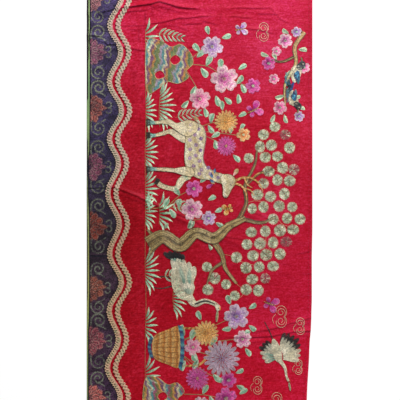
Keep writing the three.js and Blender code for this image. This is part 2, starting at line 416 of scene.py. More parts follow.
def crease(x, y):
    """How high the creases lift the silk at any place, and how much painted shade darkens its colour
    there, from 0 to 1.
    """
    lift, painted_shade = np.zeros(np.shape(x)), np.zeros(np.shape(x))
    for points, across, along in ([(points, x, y) for points in CREASES]
                                  + [(points, y, x) for points in UP_CREASES]):
        place, middle, depth = np.array(points).T
        off = along - MM * np.interp(across, MM * place, middle)
        depth = np.interp(across, MM * place, depth)
        face = np.clip(off / CREASE_FACE + 0.5, 0, 1)
        back = np.exp(-(np.clip(off - CREASE_FACE / 2, 0, None) / CREASE_BACK) ** 2)
        ridge = np.exp(-(off / RIDGE + RIDGE_AHEAD) ** 2)
        lift += CREASE_RISE * depth * (face * back + RIDGE_RISE * ridge)
        # painted shade: the colour darkens along the steep face of each crease
        painted_shade = np.maximum(painted_shade, depth * np.exp(-(off / CREASE_SHADE_WIDTH) ** 2))
    return lift, painted_shade


rng = np.random.default_rng(11)
SWELL_HEIGHT = 0.07 * MM
SWELLS = [(rng.uniform(18, 55), rng.uniform(0, 2 * math.pi), rng.uniform(-1.2, 1.2))
          for _ in range(9)]


def swell(x, y):
    """Shallow waves of the slack silk, a fraction of a millimetre high."""
    height = np.zeros_like(x)
    for frequency, start, slant in SWELLS:
        height += np.sin(frequency * (y + slant * x) + start)
    return SWELL_HEIGHT * (height + len(SWELLS))


def cloth_z(x, y):
    """Height of the lying silk's underside with its swells and creases."""
    return lie(x, y) + swell(x, y) + crease(x, y)[0]

# %% The ground's grid and its hems
GROUND_THICK = 1.0 * MM
GROUND_ROWS = 400
GROUND_LANES = 136
HEM = 8 * MM
END_HEM = 12 * MM
HEM_STEP = 2 * MM
HEM_EXTRA = 0.7  # the second layer, pressed flat, as a share of the first
ROW_GAPS = [  # place along the panel in mm, distance there between rows of the grid
    (-500, 2), (-484, 3.4), (-336, 3.4), (-326, 1.7), (-264, 1.7), (-254, 3), (-150, 2.6),
    (-90, 2.2), (40, 2.2), (60, 3.4), (320, 3.4), (330, 1.6), (458, 1.6), (470, 2), (500, 2),
]


def grid_rows(count):
    """Places along the panel, closer together where creases run."""
    fine = np.linspace(-HALF_LENGTH, HALF_LENGTH, 4001)
    passed = np.cumsum(1 / np.interp(fine / MM, *np.array(ROW_GAPS).T))
    return np.interp(np.linspace(passed[0], passed[-1], count), passed, fine)


ground_y = grid_rows(GROUND_ROWS)
ground_left, ground_right = sides("ground_panel", ground_y)
panel_x = lanes(ground_left, ground_right, np.linspace(0, 1, GROUND_LANES))
panel_y = np.repeat(ground_y[:, None], panel_x.shape[1], 1)


def layers(x, y, right):
    """How thick the ground is: one layer, or two along the hems, with a rounded step between."""
    into_side = np.clip((x - (right - HEM)) / HEM_STEP, 0, 1)
    into_end = np.clip((np.abs(y) - (HALF_LENGTH - END_HEM)) / HEM_STEP, 0, 1)
    return GROUND_THICK * (1 + HEM_EXTRA * np.maximum(into_side, into_end))


print("the rows stand", round(np.diff(ground_y).min() / MM, 1), "mm apart at the creases")

# %% Painted crease shade, painted sheen and shade, fading and wear of the red dye
CREASE_SHADE_DEPTH = 0.9  # how much of the colour the painted crease shade hides where it is darkest


def painted_crease_shade(x, y):
    """How much colour is left where shade is painted along the creases."""
    return 1 - CREASE_SHADE_DEPTH * crease(x, y)[1]


# painted sheen and shade along with the dye's fading: the red is brighter and pinker towards the far end
# and the plain edge, deeper and darker in the middle near the border
FADING_AND_PAINTED_LIGHT = [  # place along the panel in mm, how red, green and blue have changed: border, plain edge
    (480, (1.0, 1.6, 1.3), (0.93, 1.15, 1.35)), (430, (0.98, 1.3, 1.15), (0.93, 1.4, 1.45)),
    (350, (0.95, 1.25, 1.0), (0.93, 2.1, 1.65)), (276, (0.84, 0.82, 0.62), (0.93, 1.9, 1.45)),
    (172, (0.82, 0.8, 0.58), (0.94, 1.4, 0.98)), (57, (0.7, 0.52, 0.26), (0.95, 1.6, 1.15)),
    (-57, (0.63, 0.45, 0.14), (0.99, 1.35, 1.1)), (-140, (0.66, 0.5, 0.17), (1.0, 1.2, 1.1)),
    (-480, (0.96, 0.9, 0.5), (1.32, 1.3, 1.3)),
]


def faded(x, y):
    """The change in the red over the panel, from the dye's fading and from painted sheen and shade: it is
    deepest in the middle near the border, brighter and pinker towards the far end and the plain edge.
    """
    across = np.clip((x - box_low[0]) / (box_high[0] - box_low[0]), 0, 1)[..., None]
    return read_table(FADING_AND_PAINTED_LIGHT, 1, y) * (1 - across) + read_table(FADING_AND_PAINTED_LIGHT, 2, y) * across


MOTTLE = (0.15, 0.42, 0.3)  # how far red, green and blue stray from point to point
MOTTLE_PLAIN_EDGE = 0.15  # what is left of it at the plain edge
MOTTLE_FLOOR = 0.2


def mottled(x):
    """The dye has worn unevenly, most of all near the border."""
    share = np.interp(x, (box_low[0], box_high[0]), (1, MOTTLE_PLAIN_EDGE))
    stray = np.random.default_rng(3).normal(0, 1, x.shape) * share
    return np.clip(1 + stray[..., None] * MOTTLE, MOTTLE_FLOOR, None)

# %% Sew the ground panel
ground_thickness = layers(panel_x, panel_y, ground_right[:, None])
ground_top = cloth_z(panel_x, panel_y) + ground_thickness
ground_colours = np.ones(panel_x.shape + (4,))
# painted crease shade, painted sheen and shade with the dye's fading, and uneven wear
ground_colours[..., :3] = (painted_crease_shade(panel_x, panel_y)[..., None] * faded(panel_x, panel_y)
                           * mottled(panel_x))
ground = closed_sheet("silk_ground", panel_x, panel_y, ground_top, ground_thickness, crimson_silk,
                      ground_colours)


def silk_top(x, y):
    """Height of the silk's face, where everything else is laid or stitched."""
    return cloth_z(x, y) + GROUND_THICK

# %% [markdown]
# ## The brocade
# The border is a figured silk: violet-navy with a vine that curls above and below each blossom.
# A figure like this is woven in, so here it is part of the cloth's own mesh: each point of a fine
# grid is tested against the petals and the vine, takes their colour, and rises a little, as the
# thicker figure threads do. The grid is 1.3 mm, about four real threads, so steps in the outline
# read as woven steps. Each blossom has faded to its own shade, and the ground with it.

# %% Shades and petals of the figure
GROUND_DYES = [  # place along the panel in mm, the violet ground there, how strong its figure is
    (470, "#4E3F6F", 1.0), (300, "#44385E", 0.9), (140, "#3B3156", 0.78), (-20, "#31253C", 0.6),
    (-120, "#33232F", 0.62), (-122, "#3D2A38", 0.72), (-260, "#493044", 0.85), (-470, "#583A56", 1.0),
]
THREAD_SHADES = [(-9, 0.72), (-0.5, 1.3), (0.9, 0.5)]  # from which tone on, how bright it is
VINE = ["#686A60", "#92937F"]
# the dark navy of the painted shadow by the binding and of the seam line
NAVY_FOR_SHADOW_AND_SEAM = "#100D20"
BLOSSOMS = [  # place along the panel in mm, main shade of its petals
    (464, "#B47276"), (340, "#98586F"), (212, "#BA655A"), (76, "#A0556F"), (-60, "#AA4D3C"),
    (-202, "#B5644F"), (-324, "#B05860"), (-453, "#D06E66"),
]
PETALS = [  # angle from +X in degrees, length, width in mm, how far out it is widest; back to front
    (88, 31, 14, 1.2), (-88, 31, 14, 1.2), (66, 32, 15, 1.5), (-66, 32, 15, 1.5),
    (32, 31, 17, 1.7), (-32, 31, 17, 1.7), (0, 36, 12, 1.0), (74, 18, 9, 1.4), (-74, 18, 9, 1.4),
    (44, 19, 9, 1.4), (-44, 19, 9, 1.4), (15, 20, 9, 1.4), (-15, 20, 9, 1.4),
]
OUTLINE = 1.5
BLOSSOM_BASE = 8  # mm from the border's outer edge
print("each blossom has", len(PETALS), "petals in two rows")

# %% The woven figure
def paint(colours, raise_by, mask, colour, lift):
    """Give the masked points a colour and let them stand proud."""
    colours[mask] = linear(colour) if isinstance(colour, str) else colour
    raise_by[mask] = lift


def near_line(px, py, line, width):
    """True where a point is within half the width of a drawn line."""
    close = np.zeros(px.shape, bool)
    for (ax, ay), (bx, by) in zip(line[:-1], line[1:]):
        length = (bx - ax) ** 2 + (by - ay) ** 2
        t = np.clip(((px - ax) * (bx - ax) + (py - ay) * (by - ay)) / length, 0, 1)
        close |= np.hypot(px - ax - t * (bx - ax), py - ay - t * (by - ay)) < width / 2
    return close


def curl(centre, start, turns, outer, inner, steps=40):
    """A spiral that winds in from its outer end. Angles are in turns, sizes in millimetres."""
    share = np.linspace(0, 1, steps)
    angle = 2 * math.pi * (start + turns * share)
    radius = outer + (inner - outer) * share
    return list(zip(centre[0] + radius * np.cos(angle), centre[1] + radius * np.sin(angle)))


def weave_blossom(px, py, colours, lift, code):
    """One half-open blossom, its pointed petals fanned to the right. px, py are mm from its base."""
    main = np.array(linear(code))
    dark, pale = main * (0.34, 0.34, 0.45, 1), main * 0.62 + np.array(linear("#B4AC9C")) * 0.4
    for angle, length, width, bulge in PETALS:
        turned = math.radians(angle + rng.normal(0, 3))
        length, width = length * rng.uniform(0.88, 1.08), width * rng.uniform(0.9, 1.15)
        along = (px * math.cos(turned) + py * math.sin(turned)) / length
        across = np.abs(-px * math.sin(turned) + py * math.cos(turned))
        half = width / 2 * np.sin(math.pi * np.clip(along, 0, 1) ** bulge) ** 0.7
        half += rng.normal(0, 0.3, px.shape)
        inside = (along > 0) & (along < 1) & (across < half)
        core = inside & (across < half - OUTLINE) & (along < 1 - OUTLINE / length)
        paint(colours, lift, (along > 0) & (along < 1.06) & (across < half + 1.6), dark, 0.05 * MM)
        paint(colours, lift, inside, pale, 0.3 * MM)
        paint(colours, lift, core, main, 0.25 * MM)
        paint(colours, lift, core & (rng.random(px.shape) < 0.3), dark, 0.15 * MM)
        paint(colours, lift, core & (rng.random(px.shape) < 0.18), main * 1.5, 0.3 * MM)


def weave_vine(px, py, colours, lift, side):
    """The stem and its curl on one side of a blossom, and the small sprigs beside it. The curl
    below the blossom is thinner and more worn."""
    stem = [(2, side * 28), (0, side * 34), (0.5, side * 45)]
    outer = curl((17, side * 45), 0.5, -side * 1.5, 16.5, 3.5)
    tail = [(13, side * 34), (21, side * 32.5), (28, side * 29.5), (32, side * 26)]
    sprig = [(31, 0), (37, 0)] + curl((39, side * 7), -side * 0.25, side * 0.7, 7.2, 5)
    thick, wear = (4.2, 0.05) if side > 0 else (3.7, 0.22)
    start, slant = rng.uniform(0, 6, 2)
    for path, width, share in ((stem, thick, wear), (outer, thick, wear), (tail, 3.2, 0.1 + wear),
                               (sprig, 3.2, 0.1)):
        patches = 1 + np.sin(px / 5 + py / (4 + slant) + start)
        worn = rng.random(px.shape) < share * patches
        paint(colours, lift, near_line(px, py, path, width) & ~worn, VINE[0], 0.25 * MM)
        paint(colours, lift, near_line(px, py, path, width * 0.4) & ~worn, VINE[1], 0.3 * MM)


def weave_figure(x, y, left):
    """The figure over a whole length of brocade: a colour and a lift for every point."""
    ground, strength = (read_table(GROUND_DYES, column, y) for column in (1, 2))
    tone = np.sin(90 * x + 37 * y) + np.sin(210 * y - 60 * x) + rng.normal(0, 0.5, x.shape)
    figure, lift = np.ones(x.shape + (4,)), np.zeros(x.shape)
    for level, shade in THREAD_SHADES:
        figure[tone > level] = shade
    for place, code in BLOSSOMS:
        size = rng.uniform(0.94, 1.06)
        px, py = ((x - left) / MM - BLOSSOM_BASE) / size, (y / MM - place) / size
        for side in (1, -1):
            weave_vine(px, py, figure, lift, side)
        weave_blossom(px, py, figure, lift, code)
    woven = lift > 0
    colours = np.where(woven[..., None], figure * strength[..., None], figure * ground)
    colours[..., 3] = 1
    return colours, lift

# %% Figured silk material
RIB = 1.3 * MM


def figured_silk(name):
    """Brocade: the figure's colour comes with the cloth, over a ribbed weave with a dull gleam."""
    material, tree = new_material(name)
    place = add(tree, "ShaderNodeTexCoord").outputs["Object"]
    figure = add(tree, "ShaderNodeAttribute", attribute_name="figure").outputs["Color"]
    speckle = add(tree, "ShaderNodeTexNoise", {"Vector": place, "Scale": 350.0, "Detail": 2.0})
    wear = add(tree, "ShaderNodeTexNoise", {"Vector": place, "Scale": 26.0, "Detail": 4.0})
    colour = figure
    for pattern, weight, stops in ((speckle, 0.85, [(0.36, "#605E50"), (0.56, "#FFFFFF")]),
                                   (wear, 0.8, [(0.35, "#A8A0B4"), (0.55, "#FFFFFF")])):
        shade = add(tree, "ShaderNodeValToRGB", {"Fac": pattern.outputs["Fac"]}, stops)
        colour = add(tree, "ShaderNodeMix", {
            "Factor": weight, 6: colour, 7: shade.outputs["Color"]}, **DARKEN).outputs[2]
    rib = add(tree, "ShaderNodeTexWave", {
        "Vector": place, "Scale": math.pi / 10 / RIB, "Distortion": 0.8}, bands_direction="Y")
    rib_bump = add(tree, "ShaderNodeBump", {
        "Height": rib.outputs["Fac"], "Strength": 0.5, "Distance": 0.2 * MM})
    puckers = add(tree, "ShaderNodeTexNoise", {"Vector": place, "Scale": 55.0, "Detail": 2.0})
    bump = add(tree, "ShaderNodeBump", {
        "Height": puckers.outputs["Fac"], "Distance": 2 * MM, "Normal": rib_bump.outputs[0]})
    surface = add(tree, "ShaderNodeBsdfPrincipled", {
        "Base Color": colour, "Roughness": 0.5, "Normal": bump.outputs[0],
        "Specular IOR Level": 0.25, "Sheen Weight": 0.1, "Sheen Tint": linear("#A090E0")})
    add(tree, "ShaderNodeOutputMaterial", {"Surface": surface.outputs[0]})
    return material


brocade_silk = figured_silk("violet figured silk")

# %% Lay the two lengths of brocade
BROCADE_THICK = 0.7 * MM
BROCADE_GRID = 1.3 * MM
SEAM_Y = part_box("brocade_upper")[0].y
SEAM_SHADE = 1.6 * MM
# the width of the painted shadow along the binding
EDGE_SHADOW_WIDTH = 3.4 * MM
UNDER_BRAID = 3.6 * MM
# how wide and how dark the painted shadow of the braid is on the brocade
BRAID_SHADOW_WIDTH = 5 * MM
BRAID_SHADOW_DEPTH = 0.6
CREASE_SHADE_ON_BROCADE = 1.3  # it shows more on the violet
CLEARANCE = 0.05 * MM
HAIR = 0.02 * MM


def brocade_sides(node, y):
    """The left and right edge of a length of brocade, carried straight on beyond its ends."""
    low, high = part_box(node)
    return sides(node, np.clip(y, low.y + HAIR, high.y - HAIR))


def lay_brocade(name, node):
    """One length of brocade, cut on the wave and reaching a little way under the braid, with painted
    shadow beside it and by the binding. The two lengths are drawn together at their seam, also dark."""
    low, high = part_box(node)
    end = SEAM_Y + 5 * HAIR if high.y < SEAM_Y else high.y
    y = np.linspace(low.y + HAIR, end, int((end - low.y) / BROCADE_GRID))
    left, wave = brocade_sides(node, y)
    right = wave + UNDER_BRAID
    across = int((right - left).max() / BROCADE_GRID)
    x = lanes(left, right, np.linspace(0, 1, across))
    y = np.repeat(y[:, None], across, 1)
    colours, lift = weave_figure(x, y, box_low[0])
    # painted crease shade on the brocade
    colours[..., :3] *= painted_crease_shade(x, y)[..., None] ** CREASE_SHADE_ON_BROCADE
    # painted shadow of the braid on the brocade, darkest next to it
    beside_braid = np.clip(wave[:, None] - x, 0, None)
    painted_braid_shadow = BRAID_SHADOW_DEPTH * np.exp(-(beside_braid / BRAID_SHADOW_WIDTH) ** 2)
    colours[..., :3] *= 1 - painted_braid_shadow[..., None]
    # painted shadow in dark navy along the binding, and a dark line along the seam
    edge_shadow_and_seam = (x - left[:, None] < EDGE_SHADOW_WIDTH) | (np.abs(y - SEAM_Y) < SEAM_SHADE)
    paint(colours, lift, edge_shadow_and_seam, NAVY_FOR_SHADOW_AND_SEAM, 0)
    top = silk_top(x, y) + BROCADE_THICK + lift
    thickness = np.full(x.shape, BROCADE_THICK) + lift - CLEARANCE
    return closed_sheet(name, x, y, top, thickness, brocade_silk, colours)


brocade_far = lay_brocade("brocade_far_length", "brocade_upper")
brocade_near = lay_brocade("brocade_near_length", "brocade_lower")

# %% [markdown]
# ## The edge binding
# A strip of green silk is folded round the bordered edge. Its fold is round, so the sheet is
# given a rounded section that falls to the table outside. It is folded a little fuller than the
# edge that it covers, laps onto the brocade, and puckers where it was sewn. Its green has faded
# unevenly, and a black line of painted shadow runs along its outside, wider in some places.

# %% Fold the binding
BINDING_RISE = 2.0 * MM
BINDING_THICK = 1.2 * MM
BINDING_LANES = 14
BINDING_CURVE = 0.35  # the share of its width that the rounded fold takes
PUCKER = 0.16
BINDING_DYES = [  # place along the panel in mm, how its green has faded there
    (-500, "#8E9E68"), (-275, "#A2AA67"), (-200, "#AAA866"), (-60, "#939A61"), (90, "#7E8A62"),
    (180, "#8AA46C"), (270, "#789E70"), (340, "#A2BE84"), (500, "#9EB680"),
]
# painted shadow: a black line along the outside of the binding
SHADOW_BLACK = "#0C0B0D"
OUTER_SHADOW_WIDTHS = [  # place along the panel in mm, width in mm of the black line outside
    (-500, 1.6), (-400, 0.6), (-235, 0.6), (-225, 2.2), (-60, 2), (-40, 1.5), (40, 1.5), (60, 2.6),
    (135, 2.6), (145, 0), (222, 0), (235, 3.2), (315, 3.2), (328, 4.8), (420, 4.8), (440, 4.2),
    (500, 4.2),
]
FULLNESS = 1.6 * MM
BINDING_LAP = 0.5 * MM
binding_left = sides("edge_binding", ground_y)[0] - FULLNESS
far_left, near_left = (brocade_sides(node, ground_y)[0]
                       for node in ("brocade_upper", "brocade_lower"))
binding_right = np.where(ground_y > SEAM_Y, far_left, near_left) + BINDING_LAP
binding_share = np.linspace(0, 1, BINDING_LANES)
binding_x = lanes(binding_left, binding_right, binding_share)
binding_y = np.repeat(ground_y[:, None], len(binding_share), 1)
into_fold = 1 - np.clip(binding_share / BINDING_CURVE, 0, 1)
fold_round = np.sqrt(np.clip(1 - into_fold ** 2, 0.03, 1))
pucker = 1 + PUCKER * np.sin(ground_y * 700) * np.sin(ground_y * 93)
binding_top = (cloth_z(binding_x, binding_y)
               + (BINDING_RISE * fold_round[None, :]) * pucker[:, None])
binding_body = BINDING_THICK * np.repeat(fold_round[None, :], len(ground_y), 0)
green = read_table(BINDING_DYES, 1, ground_y)
outer_shadow_width = MM * read_table(OUTER_SHADOW_WIDTHS, 1, ground_y)
# painted shadow along the binding's outside
painted_outer_shadow = (binding_x - binding_left[:, None]) < outer_shadow_width[:, None]
binding_colours = np.where(painted_outer_shadow[..., None], linear(SHADOW_BLACK), green[:, None, :])
binding = closed_sheet("green_binding", binding_x, binding_y, binding_top, binding_body, green_silk,
                       binding_colours)

# %% [markdown]
# ## The two braids
# Each braid is a silk and cotton gimp, plaited from soft cords and couched along the wave. A
# plait is a rule, and so a job for Geometry Nodes: every cord swings from side to side along one
# centre line while it dips under and rises over the others. One tree makes both braids from a
# table of cords. Its swing is scaled by how steeply the line runs, so that the bare strip between
# the braids stays open on the slopes of the wave.

# %% Helpers for Geometry Nodes trees
def start_tree(name, floats):
    """A Geometry Nodes tree with a geometry input, named number inputs and a geometry output."""
    tree = bpy.data.node_groups.new(name, "GeometryNodeTree")
    tree.is_modifier = True
    tree.interface.new_socket("Geometry", in_out="INPUT", socket_type="NodeSocketGeometry")
    for label, value in floats.items():
        socket = tree.interface.new_socket(label, in_out="INPUT", socket_type="NodeSocketFloat")
        socket.default_value = value
    tree.interface.new_socket("Geometry", in_out="OUTPUT", socket_type="NodeSocketGeometry")
    return tree, add(tree, "NodeGroupInput")


def finish_tree(tree, geometry, material):
    """End a tree: its instances are made real and get their material."""
    whole = add(tree, "GeometryNodeRealizeInstances", {"Geometry": geometry})
    finished = add(tree, "GeometryNodeSetMaterial", {
        "Geometry": whole.outputs[0], "Material": material})
    add(tree, "NodeGroupOutput", {"Geometry": finished.outputs[0]})
    return tree


def bake(piece, tree, values):
    """Run a tree on a piece with these input values, and keep the result as a plain mesh."""
    modifier = piece.modifiers.new(tree.name, "NODES")
    modifier.node_group = tree
    sockets = {item.name: item.identifier for item in tree.interface.items_tree
               if item.in_out == "INPUT"}
    for label, value in values.items():
        modifier[sockets[label]] = value
    evaluated = piece.evaluated_get(bpy.context.evaluated_depsgraph_get())
    mesh = bpy.data.meshes.new_from_object(evaluated)
    old = piece.data
    piece.modifiers.clear()
    piece.data = mesh
    bpy.data.meshes.remove(old)
    mesh.name = piece.name
    print(piece.name, "has", sum(len(p.vertices) - 2 for p in mesh.polygons), "triangles")
    return piece

# %% A tree that plaits cords along a line
CORD_RADIUS = 0.8
CORD_CORNERS = 5
TAPE_THICK = 1.6 * MM


def plait_tree(name, cords, tape, material):
    """Cords is a table: swing, shift and rise in mm, turn as a share of a period, tint 0 to 1.
    The tape that they are sewn to is a flat core, its width in mm."""
    tree, given = start_tree(name, {"Step": 1.15 * MM, "Period": 17 * MM, "Cord": CORD_RADIUS * MM})
    line = add(tree, "GeometryNodeMeshToCurve", {"Mesh": given.outputs["Geometry"]})
    even = add(tree, "GeometryNodeResampleCurve", {
        "Curve": line.outputs[0], "Length": given.outputs["Step"]}, mode="LENGTH")
    along = add(tree, "GeometryNodeSplineParameter").outputs["Length"]
    periods = add(tree, "ShaderNodeMath", {0: along, 1: given.outputs["Period"]},
                  operation="DIVIDE")
    angle = add(tree, "ShaderNodeMath", {0: periods.outputs[0], 1: 2 * math.pi},
                operation="MULTIPLY")
    tangent = add(tree, "GeometryNodeInputTangent").outputs[0]
    sideways = add(tree, "ShaderNodeVectorMath", {0: (0, 0, 1), 1: tangent},
                   operation="CROSS_PRODUCT")
    narrow = add(tree, "GeometryNodeInputNamedAttribute", {"Name": "narrow"},
                 data_type="FLOAT").outputs["Attribute"]
    section = add(tree, "GeometryNodeCurvePrimitiveCircle", {
        "Resolution": CORD_CORNERS, "Radius": given.outputs["Cord"]})
    join = add(tree, "GeometryNodeJoinGeometry")
    level = add(tree, "GeometryNodeSetCurveNormal", {"Curve": even.outputs[0]}, mode="Z_UP")
    backed = add(tree, "GeometryNodeStoreNamedAttribute", {
        "Geometry": level.outputs[0], "Name": "tint", "Value": 0.0}, data_type="FLOAT", domain="POINT")
    flat = add(tree, "GeometryNodeCurvePrimitiveQuadrilateral", {
        "Width": tape * MM, "Height": TAPE_THICK})
    base = add(tree, "GeometryNodeCurveToMesh", {
        "Curve": backed.outputs[0], "Profile Curve": flat.outputs[0], "Scale": narrow,
        "Fill Caps": True})
    tree.links.new(base.outputs[0], join.inputs[0])
    for cord in cords:
        turned = add(tree, "ShaderNodeMath", {
            0: angle.outputs[0], 1: cord["turn"] * 2 * math.pi}, operation="ADD")
        sine, cosine = (add(tree, "ShaderNodeMath", {0: turned.outputs[0]}, operation=wave)
                        for wave in ("SINE", "COSINE"))
        swing = add(tree, "ShaderNodeMath", {
            0: sine.outputs[0], 1: cord["swing"] * MM, 2: cord["shift"] * MM},
            operation="MULTIPLY_ADD")
        across = add(tree, "ShaderNodeMath", {0: swing.outputs[0], 1: narrow}, operation="MULTIPLY")
        height = add(tree, "ShaderNodeMath", {
            0: cosine.outputs[0], 1: cord["rise"] * MM, 2: (cord["rise"] + CORD_RADIUS) * MM},
            operation="MULTIPLY_ADD")
        moved = add(tree, "ShaderNodeVectorMath", {
            0: sideways.outputs[0], "Scale": across.outputs[0]}, operation="SCALE")
        lifted = add(tree, "ShaderNodeCombineXYZ", {"Z": height.outputs[0]})
        offset = add(tree, "ShaderNodeVectorMath", {0: moved.outputs[0], 1: lifted.outputs[0]})
        placed = add(tree, "GeometryNodeSetPosition", {
            "Geometry": even.outputs[0], "Offset": offset.outputs[0]})
        tinted = add(tree, "GeometryNodeStoreNamedAttribute", {
            "Geometry": placed.outputs[0], "Name": "tint", "Value": cord["tint"]},
            data_type="FLOAT", domain="POINT")
        tube = add(tree, "GeometryNodeCurveToMesh", {
            "Curve": tinted.outputs[0], "Profile Curve": section.outputs["Curve"], "Fill Caps": True})
        tree.links.new(tube.outputs[0], join.inputs[0])
    return finish_tree(tree, join.outputs[0], material)

# %% Gimp cord material
TWIST = 0.9 * MM
GIMP_PLIES = [
    (0.0, "#A1B68F"), (0.16, "#C9BD9C"), (0.36, "#DFCBA9"), (0.6, "#DCB8A3"), (0.85, "#CE908B"),
    (1.0, "#A06062"),
]
GIMP_AGE = [  # share of the way from the near end to the far end, what is left of the colour
    (0.03, "#FFE5E2"), (0.19, "#ECDCD0"), (0.31, "#E2D0C1"), (0.44, "#D5C2BC"), (0.56, "#E2DCE3"),
    (0.8, "#E0DCE5"), (1.0, "#E1DAE8"),
]


def gimp_cord(name):
    """Soft twisted gimp: cream with faded pink and green plies, matt, with a fine slanted twist.
    It has yellowed most along the middle of the panel."""
    material, tree = new_material(name)
    place = add(tree, "ShaderNodeTexCoord").outputs["Object"]
    y = add(tree, "ShaderNodeSeparateXYZ", {"Vector": place}).outputs["Y"]
    share = add(tree, "ShaderNodeMath", {0: y, 1: 0.5 / HALF_LENGTH, 2: 0.5},
                operation="MULTIPLY_ADD")
    age = add(tree, "ShaderNodeValToRGB", {"Fac": share.outputs[0]}, GIMP_AGE)
    tint = add(tree, "ShaderNodeAttribute", attribute_name="tint").outputs["Fac"]
    flecks = add(tree, "ShaderNodeTexNoise", {"Vector": place, "Scale": 150.0, "Detail": 2.0})
    stray = add(tree, "ShaderNodeMath", {0: flecks.outputs["Fac"], 1: 0.5}, operation="SUBTRACT")
    mixed = add(tree, "ShaderNodeMath", {0: stray.outputs[0], 1: 1.5, 2: tint},
                operation="MULTIPLY_ADD")
    plies = add(tree, "ShaderNodeValToRGB", {"Fac": mixed.outputs[0]}, GIMP_PLIES)
    colour = add(tree, "ShaderNodeMix", {
        "Factor": 1.0, 6: plies.outputs["Color"], 7: age.outputs["Color"]}, **DARKEN)
    twist = add(tree, "ShaderNodeTexWave", {
        "Vector": place, "Scale": math.pi / 10 / TWIST, "Distortion": 1.0},
        bands_direction="DIAGONAL")
    bump = add(tree, "ShaderNodeBump", {
        "Height": twist.outputs["Fac"], "Strength": 0.6, "Distance": 0.2 * MM})
    surface = add(tree, "ShaderNodeBsdfPrincipled", {
        "Base Color": colour.outputs[2], "Roughness": 0.65, "Normal": bump.outputs[0],
        "Sheen Weight": 0.25, "Sheen Tint": linear("#FFF2E0")})
    add(tree, "ShaderNodeOutputMaterial", {"Surface": surface.outputs[0]})
    return material


gimp = gimp_cord("faded gimp cord")

# %% Plait both braids along the wave
LINE_STEP = 2 * MM
LINE_HEIGHT = 0.3 * MM
OUTER_CORDS = [
    {"swing": 4.3, "shift": shift, "rise": 0.55, "turn": turn, "tint": tint}
    for turn in (0.0, 0.5) for shift, tint in ((-1.5, 0.25), (0.0, 0.62), (1.5, 0.38))]
INNER_CORDS = [
    {"swing": 4.4, "shift": shift - 1.3, "rise": 0.5, "turn": turn, "tint": tint}
    for turn in (0.0, 0.5) for shift, tint in ((-0.9, 0.36), (0.7, 0.3))]
INNER_CORDS += [
    {"swing": 0.0, "shift": shift, "rise": 0.5, "turn": 0.0, "tint": tint}
    for shift, tint in ((1.7, 0.3), (3.2, 0.66), (4.7, 0.6))]


def centre_line(name, left, right, y):
    """A thin line of edges along the middle of a braid, with how much the wave narrows it."""
    x = (left + right) / 2
    slope = np.gradient(x, y)
    points = np.stack([x, y, silk_top(x, y) + LINE_HEIGHT], -1)
    mesh = bpy.data.meshes.new(name)
    mesh.from_pydata(points.tolist(), [(i, i + 1) for i in range(len(y) - 1)], [])
    layer = mesh.attributes.new("narrow", "FLOAT", "POINT")
    layer.data.foreach_set("value", (1 + slope ** 2) ** -0.25)
    return new_piece(name, mesh)


def braid(name, node, cords, tape, period):
    """Plait one braid over its solid, from end to end."""
    y = np.arange(HALF_LENGTH - LINE_STEP / 4, -HALF_LENGTH, -LINE_STEP)
    left, right = sides(node, y)
    tree = plait_tree(name + " plait", cords, tape, gimp)
    return bake(centre_line(name, left, right, y), tree, {"Period": period})


inner_braid = braid("inner_gimp_braid", "braid_inner", INNER_CORDS, 5.5, 11.6 * MM)
outer_braid = braid("outer_gimp_braid", "braid_outer", OUTER_CORDS, 8.0, 17 * MM)

# %% [markdown]
# ## Stitches in silk floss
# The embroidery is satin stitch: untwisted silk laid side by side, each stitch rising a little
# between the two holes it dives into. Every motif below only works out where its stitches start
# and end. They are drawn as the panel hangs, with the brocade at the bottom: u runs to the right
# and v upwards, in millimetres. Real floss lies 0.3 mm apart. It is drawn at 0.85 mm here, as
# coarse as it needs to be to show.

# %% Threading the needle
SPACING = 0.85
FLOSS = 0.5
UNEVEN = 0.1  # how much the dye differs from stitch to stitch
needle = np.random.default_rng(5)
work = {}


def sew(motif, start, end, colours, thick=FLOSS, layer=0):
    """Add stitches to a motif. start and end are n by 2, colours n by 3 in linear light."""
    start, end = np.atleast_2d(start), np.atleast_2d(end)
    rows = np.zeros((len(start), 9))
    rows[:, 0:2], rows[:, 2:4] = start, end
    rows[:, 4:7] = np.asarray(colours) * needle.normal(1, UNEVEN, (len(start), 1))
    rows[:, 7], rows[:, 8] = thick, layer
    work.setdefault(motif, []).append(rows)


def dye(codes):
    """A list of hex codes as rows of linear red, green and blue."""
    return np.array([linear(code)[:3] for code in codes])


print("threads lie", SPACING, "mm apart and are", 2 * FLOSS, "mm thick")

# %% Curves and places
def smooth(points, step=2.0, closed=False):
    """A soft curve through given points, as even points a step apart."""
    p = np.asarray(points, float)
    p = np.vstack([p[-1], p, p[:2]]) if closed else np.vstack([2 * p[0] - p[1], p, 2 * p[-1] - p[-2]])
    out = []
    for a, b, c, d in zip(p[:-3], p[1:-2], p[2:-1], p[3:]):
        t = np.linspace(0, 1, max(2, int(np.hypot(*(c - b)) / step) + 1))[:-1, None]
        out.append(0.5 * (2 * b + (c - a) * t + (2 * a - 5 * b + 4 * c - d) * t ** 2
                          + (3 * b - 3 * c + d - a) * t ** 3))
    return np.vstack(out if closed else out + [p[-2][None]])


def turn(points, centre, degrees=0, size=1.0, flip=False):
    """Points (or one) moved from their own drawing to their place: mirrored, sized, turned, shifted."""
    p = np.asarray(points, float) * ((-size if flip else size), size)
    c, s = math.cos(math.radians(degrees)), math.sin(math.radians(degrees))
    return p @ np.array([[c, s], [-s, c]]) + np.asarray(centre, float)


print("a quarter turn takes (1, 0) to", np.round(turn((1, 0), (0, 0), 90)))

# %% [markdown]
# An embroiderer shades with a few dyed threads and changes them in bands or rings. Here a shade
# is a function that gives each stitch its colour from where its middle lies.

